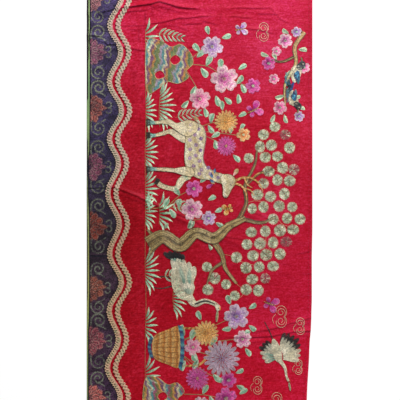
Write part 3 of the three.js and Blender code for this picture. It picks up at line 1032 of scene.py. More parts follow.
# %% Shading
def bands(codes, direction, width, wobble=0.0):
    """Shading in bands that run across a direction, with wavy borders."""
    shades, angle = dye(codes), math.radians(direction)

    def shade(p):
        along = p[:, 0] * math.cos(angle) + p[:, 1] * math.sin(angle)
        across = -p[:, 0] * math.sin(angle) + p[:, 1] * math.cos(angle)
        wave = wobble * (np.sin(across / 7) + 0.6 * np.sin(across / 3.1 + along / 9))
        return shades[np.floor((along + wave) / width).astype(int) % len(shades)]
    return shade


def rings(codes, centre, radius):
    """Shading in rings from a centre outwards, ending at the radius."""
    shades = dye(codes)

    def shade(p):
        away = np.hypot(*(p - np.asarray(centre)).T) / radius * len(shades)
        away += needle.normal(0, 0.25, len(p))
        return shades[np.clip(away.astype(int), 0, len(shades) - 1)]
    return shade


print("a band's first shade:", np.round(bands(["#EDE6CE"], 0, 9)(np.zeros((1, 2)))[0], 2))

# %% [markdown]
# Three stitches do nearly everything. Satin stitch fills an outline or is laid across a path, and
# makes a petal in a fan and a leaf in two slanting rows. Stem stitch draws lines, and seed knots
# fill the eyes of flowers. A higher layer lies on top of a lower one.

# %% Satin stitch
def satin(motif, outlines, degrees, shade, layer, longest=7.0):
    """Fill closed outlines with parallel stitches; an outline inside another leaves a hole."""
    c, s = math.cos(math.radians(degrees)), math.sin(math.radians(degrees))
    spin = np.array([[c, -s], [s, c]])
    loops = [np.asarray(o, float) @ spin for o in outlines]
    starts = np.vstack(loops)
    ends = np.vstack([np.roll(loop, -1, 0) for loop in loops])
    found_a, found_b = [], []
    for v in np.arange(starts[:, 1].min() + SPACING / 2, starts[:, 1].max(), SPACING):
        cut = (starts[:, 1] > v) != (ends[:, 1] > v)
        a, b = starts[cut], ends[cut]
        places = np.sort(a[:, 0] + (b[:, 0] - a[:, 0]) * (v - a[:, 1]) / (b[:, 1] - a[:, 1]))
        for left, right in zip(places[0::2], places[1::2]):
            parts = max(1, math.ceil((right - left) / longest))
            marks = np.linspace(left, right, parts + 1)
            marks[1:-1] += needle.uniform(-0.3, 0.3, parts - 1) * longest
            found_a += [(u, v) for u in marks[:-1]]
            found_b += [(u, v) for u in marks[1:]]
    start, end = np.array(found_a) @ spin.T, np.array(found_b) @ spin.T
    sew(motif, start, end, shade((start + end) / 2), layer=layer)


def patch(motif, outline, degrees, shade, layer):
    """Satin stitch inside one soft outline."""
    satin(motif, [smooth(outline, closed=True)], degrees, shade, layer)

# %% Stem stitch and ribbons
def line(motif, points, code, thick=FLOSS, layer=1, stitch=2.8):
    """A line of stem stitch along a soft curve: short stitches that overlap like a rope."""
    p = smooth(points, step=stitch)
    along = p[1:] - p[:-1]
    side = along[:, ::-1] * (-0.07, 0.07)
    sew(motif, p[:-1] - side, p[1:] + side, np.tile(dye([code]), (len(along), 1)), thick, layer)


def ribbon(motif, points, widths, shade, slant=55, layer=0):
    """Satin stitch laid across a path, as wide as the widths say from its start to its end."""
    p = smooth(points, step=SPACING)
    tangent = np.gradient(p, axis=0)
    tangent /= np.hypot(*tangent.T)[:, None]
    width = np.interp(np.linspace(0, 1, len(p)), np.linspace(0, 1, len(widths)), widths)
    c, s = math.cos(math.radians(slant)), math.sin(math.radians(slant))
    across = tangent @ np.array([[c, s], [-s, c]]) * width[:, None] / 2 / s
    if max(widths) < 7:
        sew(motif, p - across, p + across, shade(p), layer=layer)
    else:
        split = needle.uniform(-0.35, 0.35, (len(p), 1)) * across
        sew(motif, p - across, p + split, shade(p - across / 2), layer=layer)
        sew(motif, p + split, p + across, shade(p + across / 2), layer=layer)

# %% Petals, leaves and knots
def petal(motif, base, degrees, length, width, codes, layer=0, notch=0.0, hidden=0.0):
    """One petal: stitches fan out from its base, and its shades change from base to rim. The
    hidden share next to the base lies under other petals and isn't stitched."""
    rays = max(5, int(width / SPACING))
    t = np.linspace(-1, 1, rays)
    spread = math.degrees(math.atan2(width * 0.62, length))
    angle = np.radians(degrees + spread * t)
    reach = length * (1 - 0.30 * np.abs(t) ** 2.2 - notch * np.exp(-(t / 0.25) ** 2))
    way = np.stack([np.cos(angle), np.sin(angle)], -1)
    shades = dye(codes)
    cuts = np.linspace(0.14, 1, len(codes) + 1)[None, :] + np.zeros((rays, 1))
    cuts[:, 1:-1] += needle.uniform(-0.07, 0.07, cuts[:, 1:-1].shape)
    cuts = np.maximum(cuts, hidden)
    for k, shade in enumerate(shades):
        if cuts[:, k + 1].max() <= hidden:
            continue
        start = np.asarray(base) + way * (reach * cuts[:, k])[:, None]
        end = np.asarray(base) + way * (reach * cuts[:, k + 1])[:, None]
        sew(motif, start, end, np.tile(shade, (rays, 1)), layer=layer)


def leaf(motif, base, degrees, length, width, codes, bend=0.15, layer=0):
    """A leaf: slanting stitches from the midrib to both edges, one shade on each side, a dark
    line down the midrib and, round a large leaf, a pale one."""
    t = np.linspace(0.02, 0.98, max(4, int(length / SPACING)))[:, None]
    rib = np.hstack([t * length, bend * length * np.sin(math.pi * t)])
    half = width / 2 * np.sin(math.pi * t ** 0.8) ** 0.8
    for side, code in ((1, codes[0]), (-1, codes[-1])):
        edge = rib + np.hstack([half * 0.9, side * half])
        edge[:, 0] = np.minimum(edge[:, 0], length)
        rib_end, edge_end = turn(rib, base, degrees), turn(edge, base, degrees)
        sew(motif, rib_end, edge_end, np.tile(dye([code]), (len(t), 1)), layer=layer)
        if length > 17:
            sew(motif, edge_end[:-3:3], edge_end[3::3], dye(["#DCE3C4"]), 0.45, layer + 1)
    sew(motif, rib_end[:-3:3], rib_end[3::3], dye(["#5E8268"]), 0.5, layer + 1)


def knots(motif, centre, radius, count, codes, layer=2):
    """A patch of seed knots: very short, thick stitches in a sunflower spiral."""
    k = np.arange(count)
    away, angle = radius * np.sqrt((k + 0.5) / count), k * 2.39996
    p = np.asarray(centre) + np.stack([away * np.cos(angle), away * np.sin(angle)], -1)
    sew(motif, p - (0.45, 0.25), p + (0.45, 0.25), dye(codes)[k % len(codes)], 0.9, layer)


print("a 20 mm leaf takes", 2 * int(20 / SPACING), "stitches beside its midrib")

# %% [markdown]
# ### Motifs
# These are the ordinary motifs of garden embroidery, each put together from the stitches above.
# A motif is a function, so that one description gives every copy its own place, size and colours.

# %% Flowers
MINT = ["#BDD6BF", "#84B293"]
PALE_MINT = ["#D1DDC0", "#9CBC9C"]
STEM = "#8E9A5C"
PINKS = ["#B8428C", "#D584B2", "#EBC4CE"]
ROSES = ["#CC4A8A", "#DE7FAA", "#E6B2C0"]
LILACS = ["#8E5FA6", "#B58CC0", "#D7BFD3"]
MAGENTAS = ["#9A1F74", "#C52F92", "#DC68AE"]
GOLDS = ["#B96A24", "#DD9A43", "#E9C07C"]


def blossom(motif, centre, radius, codes, degrees):
    """An open blossom: a back row and a front row of petals round a knot of pale green."""
    for row, (share, offset, hidden) in enumerate(((1.0, 0.5, 0.5), (0.72, 0.0, 0.0))):
        for k in range(5):
            angle = degrees + (k + offset) * 360 / 5
            petal(motif, centre, angle, radius * share, radius * share * 1.02, codes,
                  1 + row, notch=0.12, hidden=hidden)
    knots(motif, centre, radius * 0.17, 17, ["#BFE0C4", "#E6E2A8"], 4)


def simple_blossom(motif, centre, radius, codes, degrees):
    """A flat blossom with one row of broad petals."""
    for k in range(5):
        petal(motif, centre, degrees + k * 360 / 5, radius, radius * 1.05, codes, 1, notch=0.1)
    knots(motif, centre, radius * 0.2, 12, ["#CDE8CE", "#A9CDB2"], 3)


def chrysanthemum(motif, centre, radius, codes, degrees):
    """Three rings of narrow petals, the outer ones longest."""
    for row, (share, count, hidden) in enumerate(((1.0, 18, 0.55), (0.7, 14, 0.45), (0.42, 10, 0.0))):
        for k in range(count):
            angle = degrees + (k + 0.5 * row) * 360 / count
            petal(motif, centre, angle, radius * share, radius * share * 0.27,
                  codes, 1 + row, hidden=hidden)
    knots(motif, centre, radius * 0.14, 10, ["#E9D27C"], 5)


def leaves(motif, rows, codes=MINT):
    """Leaves from a table of u, v, degrees, length and width."""
    for u, v, degrees, length, width in rows:
        leaf(motif, (u, v), degrees, length, width, codes, bend=needle.uniform(-0.12, 0.16))


def plant(motif, stems, leaf_rows, flowers):
    """A whole plant: first its stems, then its leaves, then its flowers from a table of kind,
    u, v, radius, shades and degrees."""
    for stem in stems:
        line(motif, stem, STEM, 0.8, layer=0)
    leaves(motif, leaf_rows)
    for kind, u, v, radius, codes, degrees in flowers:
        kind(motif, (u, v), radius, codes, degrees)

# %% Grass, fronds and pine tufts
GRASS = ["#7CAE8D", "#AACFB3", "#D6E6CA"]
BLADE_WIDTH = 5.4
FROND_PAIRS = 6
SPOKES = 56
NEEDLES = ["#EAF2D4", "#CCD7B7", "#98AC85", "#DDE7C8", "#D6E0C1"]
WORN_DISC = "#B5525E"


def clump(motif, base, blades, length):
    """A clump of grass: its blades start side by side, fan apart and bend over to their tips."""
    for t in np.linspace(-0.5, 0.5, blades):
        foot = (base[0] + blades * BLADE_WIDTH * t, base[1])
        tall = length * (1 - 0.5 * t * t) * needle.uniform(0.85, 1.05)
        bend = -0.8 * t * tall
        spine = turn([(0, 0), (tall * 0.55, bend * 0.3), (tall, bend)], foot, 90 - 105 * t)
        ribbon(motif, spine, [1.0, BLADE_WIDTH, BLADE_WIDTH * 0.8, 0.5], rings(GRASS, foot, tall),
               slant=35)


def frond(motif, base, degrees, length, leaf_length):
    """A stem with paired slender leaves, shorter towards the tip."""
    stem = turn([(0, 0), (length * 0.5, length * 0.05), (length, 0)], base, degrees)
    line(motif, stem, STEM, 0.45, layer=0)
    for k in range(FROND_PAIRS):
        t = (k + 0.6) / FROND_PAIRS
        foot = turn((t * length, length * 0.1 * t * (1 - t)), base, degrees)
        for side in (1, -1):
            leaf(motif, foot, degrees + side * (48 - 18 * t), leaf_length * (1.05 - 0.45 * t), 3.4,
                 MINT, bend=side * 0.12)


def roundel(motif, centre, radius, worn):
    """A pine tuft: a wheel of needles round a small eye. Worn ones leave a faded disc behind."""
    angle = np.linspace(0, 2 * math.pi, SPOKES, endpoint=False) + needle.uniform(0, 1)
    way = np.stack([np.cos(angle), np.sin(angle)], -1)
    way *= needle.uniform(0.9, 1.06, 2)
    shades = dye(NEEDLES)
    tone = shades[needle.integers(0, len(shades), SPOKES // 2).repeat(2)]
    # painted sheen: two opposite sides of each tuft are lighter and the two between darker
    tone = tone * (1 + 0.22 * np.cos(2 * (angle - needle.uniform(0, math.pi))))[:, None]
    kept = needle.uniform(0, 1, SPOKES) >= worn
    tone = np.where(kept[:, None], tone, dye([WORN_DISC]))
    rim = radius * needle.uniform(0.93, 1.04, (SPOKES, 1))
    middle = rim * needle.uniform(0.45, 0.62, (SPOKES, 1))
    sew(motif, centre + way * middle, centre + way * rim, tone)
    inner = np.arange(SPOKES) % 2 == 0
    start, end = centre + way * radius * 0.13, centre + way * middle * 1.1
    sew(motif, start[inner], end[inner], tone[inner] * 0.72, 0.55)
    if worn < 0.5:
        knots(motif, centre, radius * 0.12, 3, ["#6F6C44", "#9C9A68"])

# %% Cranes
FEATHER = ["#EDE6CE", "#DCD5BA", "#CFCBB2"]
GREY_GREEN = ["#8FB3A2", "#B9CBB6", "#E2DDC4"]
BLACK_TIPS = ["#E4DDC6", "#C9C6B2", "#23211F"]
BILL = ["#A9985C", "#7F7A4A"]
INK = "#1B1A1C"


def crane(motif, foot, neck, head, size):
    """A standing crane: where its foot is, the points of its neck and the angle of its head."""
    def place(points):
        return turn(points, foot, 0, size)

    for leg in ([(-4, 54), (-9, 30), (-3, 4), (6, 0)], [(10, 52), (15, 28), (12, 4), (21, 1)]):
        ribbon(motif, place(leg), [3.4, 2.2, 2.0, 1.6], bands([INK, "#4A4436"], 90, 9), layer=0)
    for k, angle in enumerate((232, 219, 206, 194, 182)):
        petal(motif, place((-36 + k, 60 + 3 * k)), angle, (34 - 3 * k) * size, 11 * size,
              [GREY_GREEN[0], INK, INK], layer=1)
    body = place([(-44, 66), (-20, 84), (6, 94), (26, 92), (38, 80), (34, 64), (16, 52), (-12, 48),
                  (-34, 54)])
    patch(motif, body, 20, bands(FEATHER, 40, 9, 2), 1)
    for k, (angle, length) in enumerate(((203, 74), (197, 70), (190, 64), (182, 56), (172, 46))):
        petal(motif, place((24 - 2 * k, 78 + 2.5 * k)), angle, length * size, 15 * size,
              GREY_GREEN if k % 2 else FEATHER[::-1], layer=2 + k % 2)
    for k, angle in enumerate((215, 200, 185, 170, 155)):
        petal(motif, place((28, 84)), angle, (30 - 2 * k) * size, 12 * size,
              [GREY_GREEN[1], "#EFE8D2"], layer=4)
    ribbon(motif, place(neck), [17 * size, 11 * size, 8.5 * size, 8 * size],
           bands(FEATHER[:2], 90, 6, 1), slant=70, layer=3)
    ribbon(motif, place(neck)[1:-1], [3.2, 3.8, 2.4], bands([INK], 0, 9), slant=70, layer=5)
    crown = np.asarray(place(neck)[-1])
    face = turn([(6, 0), (2, 4.6), (-4, 4.4), (-7, 0), (-3, -4.4), (3, -3.6)], crown, head, size)
    patch(motif, face, head + 90, bands(FEATHER[:1], 0, 9), 5)
    petal(motif, turn((-5, 3), crown, head, size), head + 12, 9 * size, 4.6,
          ["#E0762E", "#F0A23C"], layer=6)
    leaf(motif, turn((4, 0), crown, head, size), head, 25 * size, 4.6, BILL, bend=0.0, layer=6)
    knots(motif, turn((0, 1), crown, head, size), 0.8, 3, [INK], layer=8)


def flying_crane(motif, centre, degrees, size):
    """A crane in flight, neck and legs stretched out and both wings raised."""
    def place(points):
        return turn(points, centre, degrees, size)

    ribbon(motif, place([(-20, 0), (-44, -3), (-66, -8)]), [2.6, 2.2, 1.8], bands([INK], 0, 9))
    for k in range(8):
        angle = degrees + 150 - 11 * k
        petal(motif, place((-2 + 2.2 * k, 6)), angle, (50 - abs(k - 3) * 3.5) * size, 11 * size,
              BLACK_TIPS if k < 5 else FEATHER[::-1], layer=1 + k % 2)
    for k in range(6):
        angle = degrees + 205 + 13 * k
        petal(motif, place((-4 + 3 * k, -3)), angle, (36 - abs(k - 2) * 4) * size, 10 * size,
              BLACK_TIPS if k < 3 else GREY_GREEN, layer=1 + k % 2)
    body = place([(-30, 1), (-14, 9), (8, 9), (20, 4), (14, -5), (-6, -8), (-22, -5)])
    patch(motif, body, degrees + 80, bands(FEATHER, degrees, 8, 2), 3)
    ribbon(motif, place([(14, 2), (32, 9), (50, 8), (60, 10)]), [9 * size, 6 * size, 5, 5.4],
           bands(FEATHER[:2], 90, 6), slant=72, layer=4)
    head = place((62, 10))
    leaf(motif, head, degrees - 4, 18 * size, 3.8, BILL, bend=0.0, layer=5)
    knots(motif, place((60, 12)), 2.0, 5, ["#E0762E"], layer=6)

# %% The deer's parts
HIDE = ["#EAE0C2", "#D6C49A", "#F2EAD2", "#E0D2AC"]
LIMBS = ["#86B8AE", "#E2D6B4", "#ECE2C6", "#DCCDA6"]
DEER_PARTS = [  # layer, whether it is a leg, outline; from the back of the deer to the front
    (0, True, [
        (-40, 80), (-38, 66), (-46, 50), (-42, 36), (-36, 16), (-38, 3), (-28, 3), (-29, 16),
        (-33, 36), (-36, 46), (-26, 60), (-18, 74), (-20, 84)]),
    (0, True, [
        (46, 88), (50, 72), (60, 62), (71, 58), (71, 46), (66, 32), (61, 25), (67, 19), (75, 27),
        (80, 44), (82, 60), (74, 70), (62, 78), (56, 90)]),
    (1.5, False, [
        (-58, 104), (-50, 116), (-32, 121), (-8, 118), (14, 115), (30, 121), (40, 136), (46, 154),
        (52, 168), (62, 170), (67, 158), (64, 144), (59, 128), (57, 110), (50, 94), (38, 82), (16, 77),
        (-10, 78), (-32, 80), (-50, 86), (-60, 94)]),
    (3, True, [
        (-60, 100), (-64, 84), (-60, 70), (-58, 60), (-66, 46), (-64, 34), (-62, 14), (-65, 2),
        (-55, 2), (-55, 14), (-56, 34), (-54, 44), (-44, 58), (-34, 72), (-30, 86), (-38, 100),
        (-50, 106)]),
    (3, True, [
        (34, 92), (32, 74), (35, 58), (34, 44), (33, 14), (31, 2), (41, 2), (40, 14), (42, 44),
        (44, 58), (49, 74), (52, 92), (43, 98)]),
    (3.4, False, [
        (47, 158), (48, 172), (56, 181), (68, 181), (78, 174), (92, 167), (96, 161), (91, 156),
        (78, 156), (68, 154), (58, 150), (50, 152)]),
]
HOOVES = [
    [(-39, 7), (-28, 7), (-25, -1), (-40, -1)], [(58, 28), (68, 22), (66, 14), (54, 20)],
    [(-66, 7), (-54, 7), (-51, -1), (-67, -1)], [(31, 7), (42, 7), (45, -1), (30, -1)]]
ANTLERS = [  # the points of each branch and its widths
    ([(60, 182), (54, 198), (56, 216), (67, 231), (82, 238)], [5, 4, 3.4, 2.8, 1.4]),
    ([(55, 200), (68, 206), (75, 216)], [3.4, 2.8, 1.4]),
    ([(57, 216), (46, 227), (44, 240)], [3.2, 2.6, 1.2]),
    ([(66, 181), (72, 195), (86, 203), (101, 205)], [4.6, 3.6, 3, 1.4]),
    ([(76, 198), (80, 212), (91, 221)], [3, 2.4, 1.2]),
]
COAT_SPOTS = [
    (-46, 106), (-34, 98), (-26, 111), (-13, 101), (-2, 110), (9, 100), (20, 108), (-42, 89), (-23, 88),
    (-4, 89), (14, 88), (30, 96), (38, 112), (46, 130), (54, 146), (-54, 90), (34, 126), (46, 108)]


print("the deer has", len(DEER_PARTS), "parts and", len(COAT_SPOTS), "spots")

# %% A deer and a magpie
def deer(motif, foot, size):
    """A spotted deer that steps forward and looks ahead."""
    def place(points):
        return turn(points, foot, 0, size)

    petal(motif, place((-56, 110)), 222, 20 * size, 10 * size, ["#E9E0C4", "#B59A68"])
    for layer, leg, outline in DEER_PARTS:
        edge = smooth(place(outline), closed=True)
        shade = bands(LIMBS, 90, 34, 3) if leg else bands(HIDE, 100, 9, 2.5)
        satin(motif, [edge], 78 if leg else 14, shade, layer)
        line(motif, np.vstack([edge, edge[:1]])[::2], "#4A3A24", 0.55, layer=layer + 1.2)
    for hoof in HOOVES:
        satin(motif, [place(hoof)], 0, bands(["#2A241E", "#3F372B"], 90, 3), 4)
    for spot in COAT_SPOTS:
        disc = curl(spot, 0, 1, 4.2, 4.2, steps=11)[:-1]
        satin(motif, [place(disc)], 14, bands(["#8F6CA6", "#B48FC0"], 100, 3), 2.5)
    petal(motif, place((52, 176)), 146, 19 * size, 10 * size, ["#D9A7A0", "#CDB98A"], layer=5)
    horn = bands(["#C58F4C", "#E0B878"], 60, 4)
    for path, widths in ANTLERS:
        ribbon(motif, place(path), np.array(widths) * size, horn, layer=4)
    collar = [(38, 141), (47, 134), (57, 132), (66, 136)]
    striped = bands(["#27408A", "#4F8FB0", "#E0B878"], 0, 4)
    ribbon(motif, place(collar), [6 * size] * 4, striped, layer=4)
    petal(motif, place((67, 137)), -62, 17 * size, 9 * size, MAGENTAS, layer=4)
    line(motif, place([(-52, 117), (-30, 122), (-8, 119), (14, 116), (31, 123), (42, 140)]),
         "#B4627E", 0.8, layer=5)
    knots(motif, place((70, 172)), 2.6 * size, 8, [INK, INK, "#EFE8D2"], layer=6)
    knots(motif, place((93, 161)), 2.6 * size, 7, ["#4A2E26"], layer=6)


def magpie(motif, foot, degrees, size, flip=False):
    """A small perched bird: black hood, pale breast, blue wing and a long tail."""
    def place(points):
        return turn(points, foot, degrees, size, flip)

    def side(angle):
        return degrees + (180 - angle if flip else angle)

    for k in range(3):
        petal(motif, place((12, 10)), side(-24 - 7 * k), (58 - 9 * k) * size, 8 * size,
              ["#2B3F86", INK, "#3F7F95"], layer=k)
    body = [(-22, 10), (-24, 20), (-16, 28), (-2, 26), (12, 18), (18, 8), (8, 2), (-8, 1), (-18, 4)]
    patch(motif, place(body), side(35), bands(["#EDE6CE", "#D8D0B8"], side(80), 6, 1), 2)
    hood = [(-34, 28), (-30, 37), (-20, 38), (-13, 31), (-12, 22), (-18, 15), (-25, 18), (-30, 24)]
    patch(motif, place(hood), side(60), bands([INK, "#2A2B3C"], side(0), 5, 1), 3)
    for k in range(4):
        petal(motif, place((-12, 22 - k)), side(-8 - 9 * k), (34 - 5 * k) * size, 8.5 * size,
              ["#2E6E9C", "#4F9DBA", "#1F2A66"] if k % 2 else ["#1F2A66", "#3F7F95"], layer=4 + k % 2)
    leaf(motif, place((-32, 31)), side(192), 11 * size, 4, ["#B59A68", "#6F5C38"], 0.0, layer=4)
    knots(motif, place((-26, 32)), 1.3, 4, ["#EFE8D2"], layer=6)
    for leg in ([(-4, 3), (-6, -5)], [(4, 3), (3, -5)]):
        line(motif, place(leg), "#8A6A3A", 0.6, layer=1)

# %% Rocks, clouds, butterflies and the flower basket
ROCK_SHADES = ["#8A9258", "#B3A3B4", "#5FA0A6", "#D9CFAE", "#8C5F86", "#C99350", "#6F8A5E"]
CLOUD_GOLD = "#E0C9A8"


def rock(motif, outline, holes, shades, direction):
    """A pierced garden rock in wavy bands of colour, edged with a pale line."""
    borders = [smooth(edge, closed=True) for edge in [outline] + holes]
    satin(motif, borders, direction - 65, bands(shades, direction, 5.5, 3.2), 1)
    for border in borders:
        line(motif, np.vstack([border[::3], border[:1]]), "#D9C58E", layer=3)


def cloud(motif, centre, size):
    """A wish-cloud drawn twice in a couched line: two curls under a notched arch, and a foot."""
    for grown in (1.0, 1.3):
        turns, inner, steps = (1.2, 3, 16) if grown == 1 else (0.55, 7.5, 9)
        for side in (1, -1):
            spiral = curl((side * 8.5, 0), 0.25, -side * turns, 8.5, inner, steps)
            arch = [(0, 5.5), (side * 3.5, 8.2)]
            line(motif, turn(arch + spiral, centre, 0, size * grown), CLOUD_GOLD)
    line(motif, turn([(-5, -10), (0, -15), (6, -17), (14, -14)], centre, 0, size), CLOUD_GOLD)


def butterfly(motif, centre, degrees, size, codes):
    """Four wings, a banded body and two feelers."""
    for angle, length, width in ((52, 20, 17), (128, 20, 17), (-38, 13, 11), (218, 13, 11)):
        petal(motif, centre, degrees + angle, length * size, width * size, codes, layer=1)
    body = turn([(0, -11), (0.5, 0), (0, 8)], centre, degrees, size)
    ribbon(motif, body, [1.4, 3.2, 2.2], bands(["#3A3A2C", "#D8B45A"], degrees + 90, 2), layer=3)
    for side in (1, -1):
        feeler = [(0, 8), (side * 3, 14), (side * 8, 17)]
        line(motif, turn(feeler, centre, degrees, size), "#D8C68E", 0.4)


def basket(motif, centre):
    """A wicker basket: gold bands and ribs, a teal rim, a foot and a handle."""
    side = [(-46, 34), (-40, 8), (-26, -22), (0, -28), (26, -22), (40, 8), (46, 34), (0, 38)]
    wall = smooth(turn(side, centre), closed=True)
    wicker = bands(["#DFA95C", "#C98436", "#E8BE78"], 90, 5.0, 0.8)
    satin(motif, [wall], 0, wicker, 1, longest=5)
    for k in range(-3, 4):
        rib = [(k * 12.5, 33), (k * 11.5, 6), (k * 7, -24)]
        line(motif, turn(rib, centre), "#9A5F24", 0.6, layer=3)
    for path, widths, codes, direction, width, layer in (
            ([(-49, 36), (-20, 41), (20, 41), (49, 36)], [8, 9, 9, 8],
             ["#2E6E8C", "#58A0A8", "#27306E"], 0, 6, 4),
            ([(-24, -29), (0, -34), (24, -29)], [7, 8, 7], ["#27306E", "#3F7F95"], 0, 5, 3),
            ([(-44, 40), (-38, 84), (0, 106), (38, 84), (44, 40)], [4.5, 5, 5.5, 5, 4.5],
             ["#DFA95C", "#9A5F24"], 45, 3.5, 0)):
        ribbon(motif, turn(path, centre), widths, bands(codes, direction, width), layer=layer)

# %% [markdown]
# ### The garden
# The scene is this lesson's own: a deer and a crane under a pine tree, between peonies on
# garden rocks and a basket of chrysanthemums. Its colours, its scale and how closely it fills the
# silk suit a panel of this kind.

# %% Peonies on a pierced rock
rock("rock_garden", [(-362, -122), (-366, -92), (-352, -66), (-358, -44), (-338, -22), (-314, -16),
                     (-296, -32), (-282, -26), (-268, -50), (-272, -76), (-256, -96), (-252, -122)],
     [[(-334, -56), (-322, -44), (-310, -58), (-322, -70)],
      [(-298, -90), (-284, -80), (-278, -98), (-290, -104)]], ROCK_SHADES, 80)
plant("rock_garden", [
    [(-312, -18), (-306, 20), (-284, 52)], [(-324, -20), (-346, 4), (-358, 24)],
    [(-296, -30), (-262, -10), (-236, 2)], [(-292, 40), (-268, 92), (-262, 112)]], [
    (-308, 14, 150, 26, 14), (-304, 2, 30, 26, 14), (-300, 46, 178, 24, 13), (-262, -10, -20, 24, 13),
    (-266, 94, 28, 22, 12), (-266, 84, 150, 24, 12), (-340, 0, 215, 24, 13), (-328, -8, 120, 22, 12),
    (-240, 36, 20, 26, 13), (-236, 56, 48, 22, 11), (-228, -26, -50, 22, 11), (-372, 50, 110, 22, 12),
    (-380, 20, 190, 20, 11), (-244, 88, -5, 22, 11), (-300, 88, 120, 22, 11), (-212, 10, 10, 22, 11)], [
    (blossom, -278, 56, 34, PINKS, 12), (blossom, -352, 28, 27, LILACS, 40),
    (blossom, -232, 0, 26, ROSES, 5), (blossom, -262, 122, 19, MAGENTAS, 20)])

# %% A flowering branch above, with two magpies
BARK = ["#B09A64", "#726240", "#C4AE7A"]


def branch(motif, points, widths, shades=BARK, layer=0):
    """Wood in long stitches that run with the grain, darker along both sides."""
    p = smooth(points, step=5)
    tangent = np.gradient(p, axis=0)
    normal = tangent[:, ::-1] * (-1, 1) / np.hypot(*tangent.T)[:, None]
    half = np.interp(np.linspace(0, 1, len(p)), np.linspace(0, 1, len(widths)), widths)[:, None] / 2
    count = max(3, round(max(widths) * 0.8))
    for k, share in enumerate(np.linspace(-1, 1, count)):
        grain = p + normal * (share * half + needle.normal(0, 0.3, (len(p), 1)))
        outer = k in (0, count - 1)
        shade = "#54462A" if outer else shades[int(needle.integers(len(shades)))]
        thick = np.clip(1.35 * half[:-1, 0] / count * 1.6, 0.4, 0.75)
        side = (grain[1:] - grain[:-1])[:, ::-1] * (-0.05, 0.05)
        sew(motif, grain[:-1] - side, grain[1:] + side, dye([shade]), thick, layer + 2 * outer)


for points, widths in (
        ([(-386, 240), (-352, 218), (-312, 220), (-266, 196), (-216, 196)], [10, 9, 7, 5, 3]),
        ([(-330, 218), (-318, 190), (-322, 164)], [5, 4, 2.5]),
        ([(-258, 194), (-236, 216), (-204, 226)], [4, 3.2, 2.2])):
    branch("plum_branch", points, widths)
for u, v, radius, codes in (
        (-366, 196, 18, PINKS), (-304, 240, 14, ROSES), (-314, 158, 17, MAGENTAS),
        (-278, 170, 13, ROSES), (-212, 184, 17, ROSES), (-192, 228, 13, LILACS),
        (-386, 222, 13, LILACS), (-342, 176, 12, ROSES)):
    simple_blossom("plum_branch", (u, v), radius, codes, u)
leaves("plum_branch", [
    (-346, 226, 80, 20, 10), (-298, 208, -40, 20, 10), (-240, 194, -80, 22, 10), (-232, 212, 110, 20, 9),
    (-196, 194, 20, 20, 9), (-322, 176, 200, 20, 9), (-382, 204, 230, 18, 9), (-214, 224, 70, 18, 8),
    (-330, 158, 240, 20, 9), (-196, 172, -30, 20, 9)], PALE_MINT)
magpie("plum_branch", (-286, 208), 4, 0.95)
magpie("plum_branch", (-238, 203), -6, 0.85, flip=True)

# %% A deer before autumn flowers, and a crane
deer("deer", (-112, -122), 1.12)
plant("autumn_flowers", [
    [(-168, 0), (-178, 30), (-180, 60)], [(-150, 8), (-136, 36), (-126, 56)],
    [(-158, 6), (-152, 60), (-148, 92)]], [
    (-176, 24, 160, 24, 12), (-172, 18, 40, 22, 11), (-138, 34, 20, 22, 11), (-144, 26, 120, 22, 11),
    (-152, 70, 170, 20, 10), (-192, 88, 110, 20, 10), (-206, 52, 190, 22, 11), (-104, 76, 40, 22, 11),
    (-160, 92, 140, 18, 9)], [
    (chrysanthemum, -180, 60, 27, GOLDS, 0), (chrysanthemum, -124, 60, 23, MAGENTAS, 6),
    (blossom, -150, 100, 17, ["#C9641F", "#E0904A", "#EBC28C"], 25)])
crane("crane", (186, -122), [(30, 82), (46, 96), (40, 116), (46, 136), (54, 142)], -6, 1.15)

# %% A peony bush between the deer and the tree
plant("peony_bush", [
    [(22, -122), (16, -70), (24, -22)], [(20, -80), (-8, -50), (-24, -20)],
    [(18, -50), (44, -20), (42, 14)]], [
    (18, -84, 150, 24, 12), (20, -70, 30, 24, 12), (20, -48, 170, 22, 12), (-10, -46, 210, 22, 12),
    (-44, -30, 190, 20, 11), (-40, 0, 130, 20, 11), (44, -20, -20, 22, 11), (52, 36, 60, 20, 10),
    (0, 18, 110, 20, 11), (28, 34, 120, 18, 10)], [
    (blossom, 22, -18, 27, PINKS, 18), (blossom, -26, -14, 21, MAGENTAS, 50),
    (blossom, 42, 20, 18, LILACS, 5)])

# %% Pine tree
branch("pine_trunk", [(102, -119), (84, -84), (104, -46), (76, -10), (88, 32), (60, 66), (42, 104)],
       [36, 30, 31, 25, 26, 18, 12], BARK + ["#C8B684", "#6E6038", "#B59D68"], layer=3)
for points, widths in (
        ([(88, 26), (124, 50), (156, 58), (192, 84)], [14, 11, 8, 5]),
        ([(50, 86), (8, 106), (-34, 104), (-82, 126), (-126, 132)], [10, 8, 7, 5, 3]),
        ([(44, 100), (52, 140), (38, 176)], [9, 6, 4]),
        ([(142, 54), (162, 28), (194, 16)], [7, 5, 3]),
        ([(-34, 106), (-62, 138), (-70, 168)], [5, 4, 2.5])):
    branch("pine_trunk", points, widths)
for u, v, size in ((98, -100, 5.5), (88, -72, 4.5), (100, -44, 5), (84, -22, 4), (80, 6, 4.5),
                   (86, 30, 4.5), (72, 54, 3.6), (104, -116, 4), (90, -90, 3), (94, -58, 3.4),
                   (76, 16, 3), (60, 74, 3)):
    burl = curl((u, v), 0.1, 1.0, size, size * 0.9, steps=9)
    line("pine_trunk", burl, "#4E4226", 0.45, layer=6, stitch=2)
    knots("pine_trunk", (u, v), size * 0.45, 5, ["#3F3520", "#C8B684"], layer=6)
for root in ([(96, -92), (82, -108), (68, -121)], [(98, -96), (116, -110), (132, -121)]):
    branch("pine_trunk", root, [16, 10, 4])
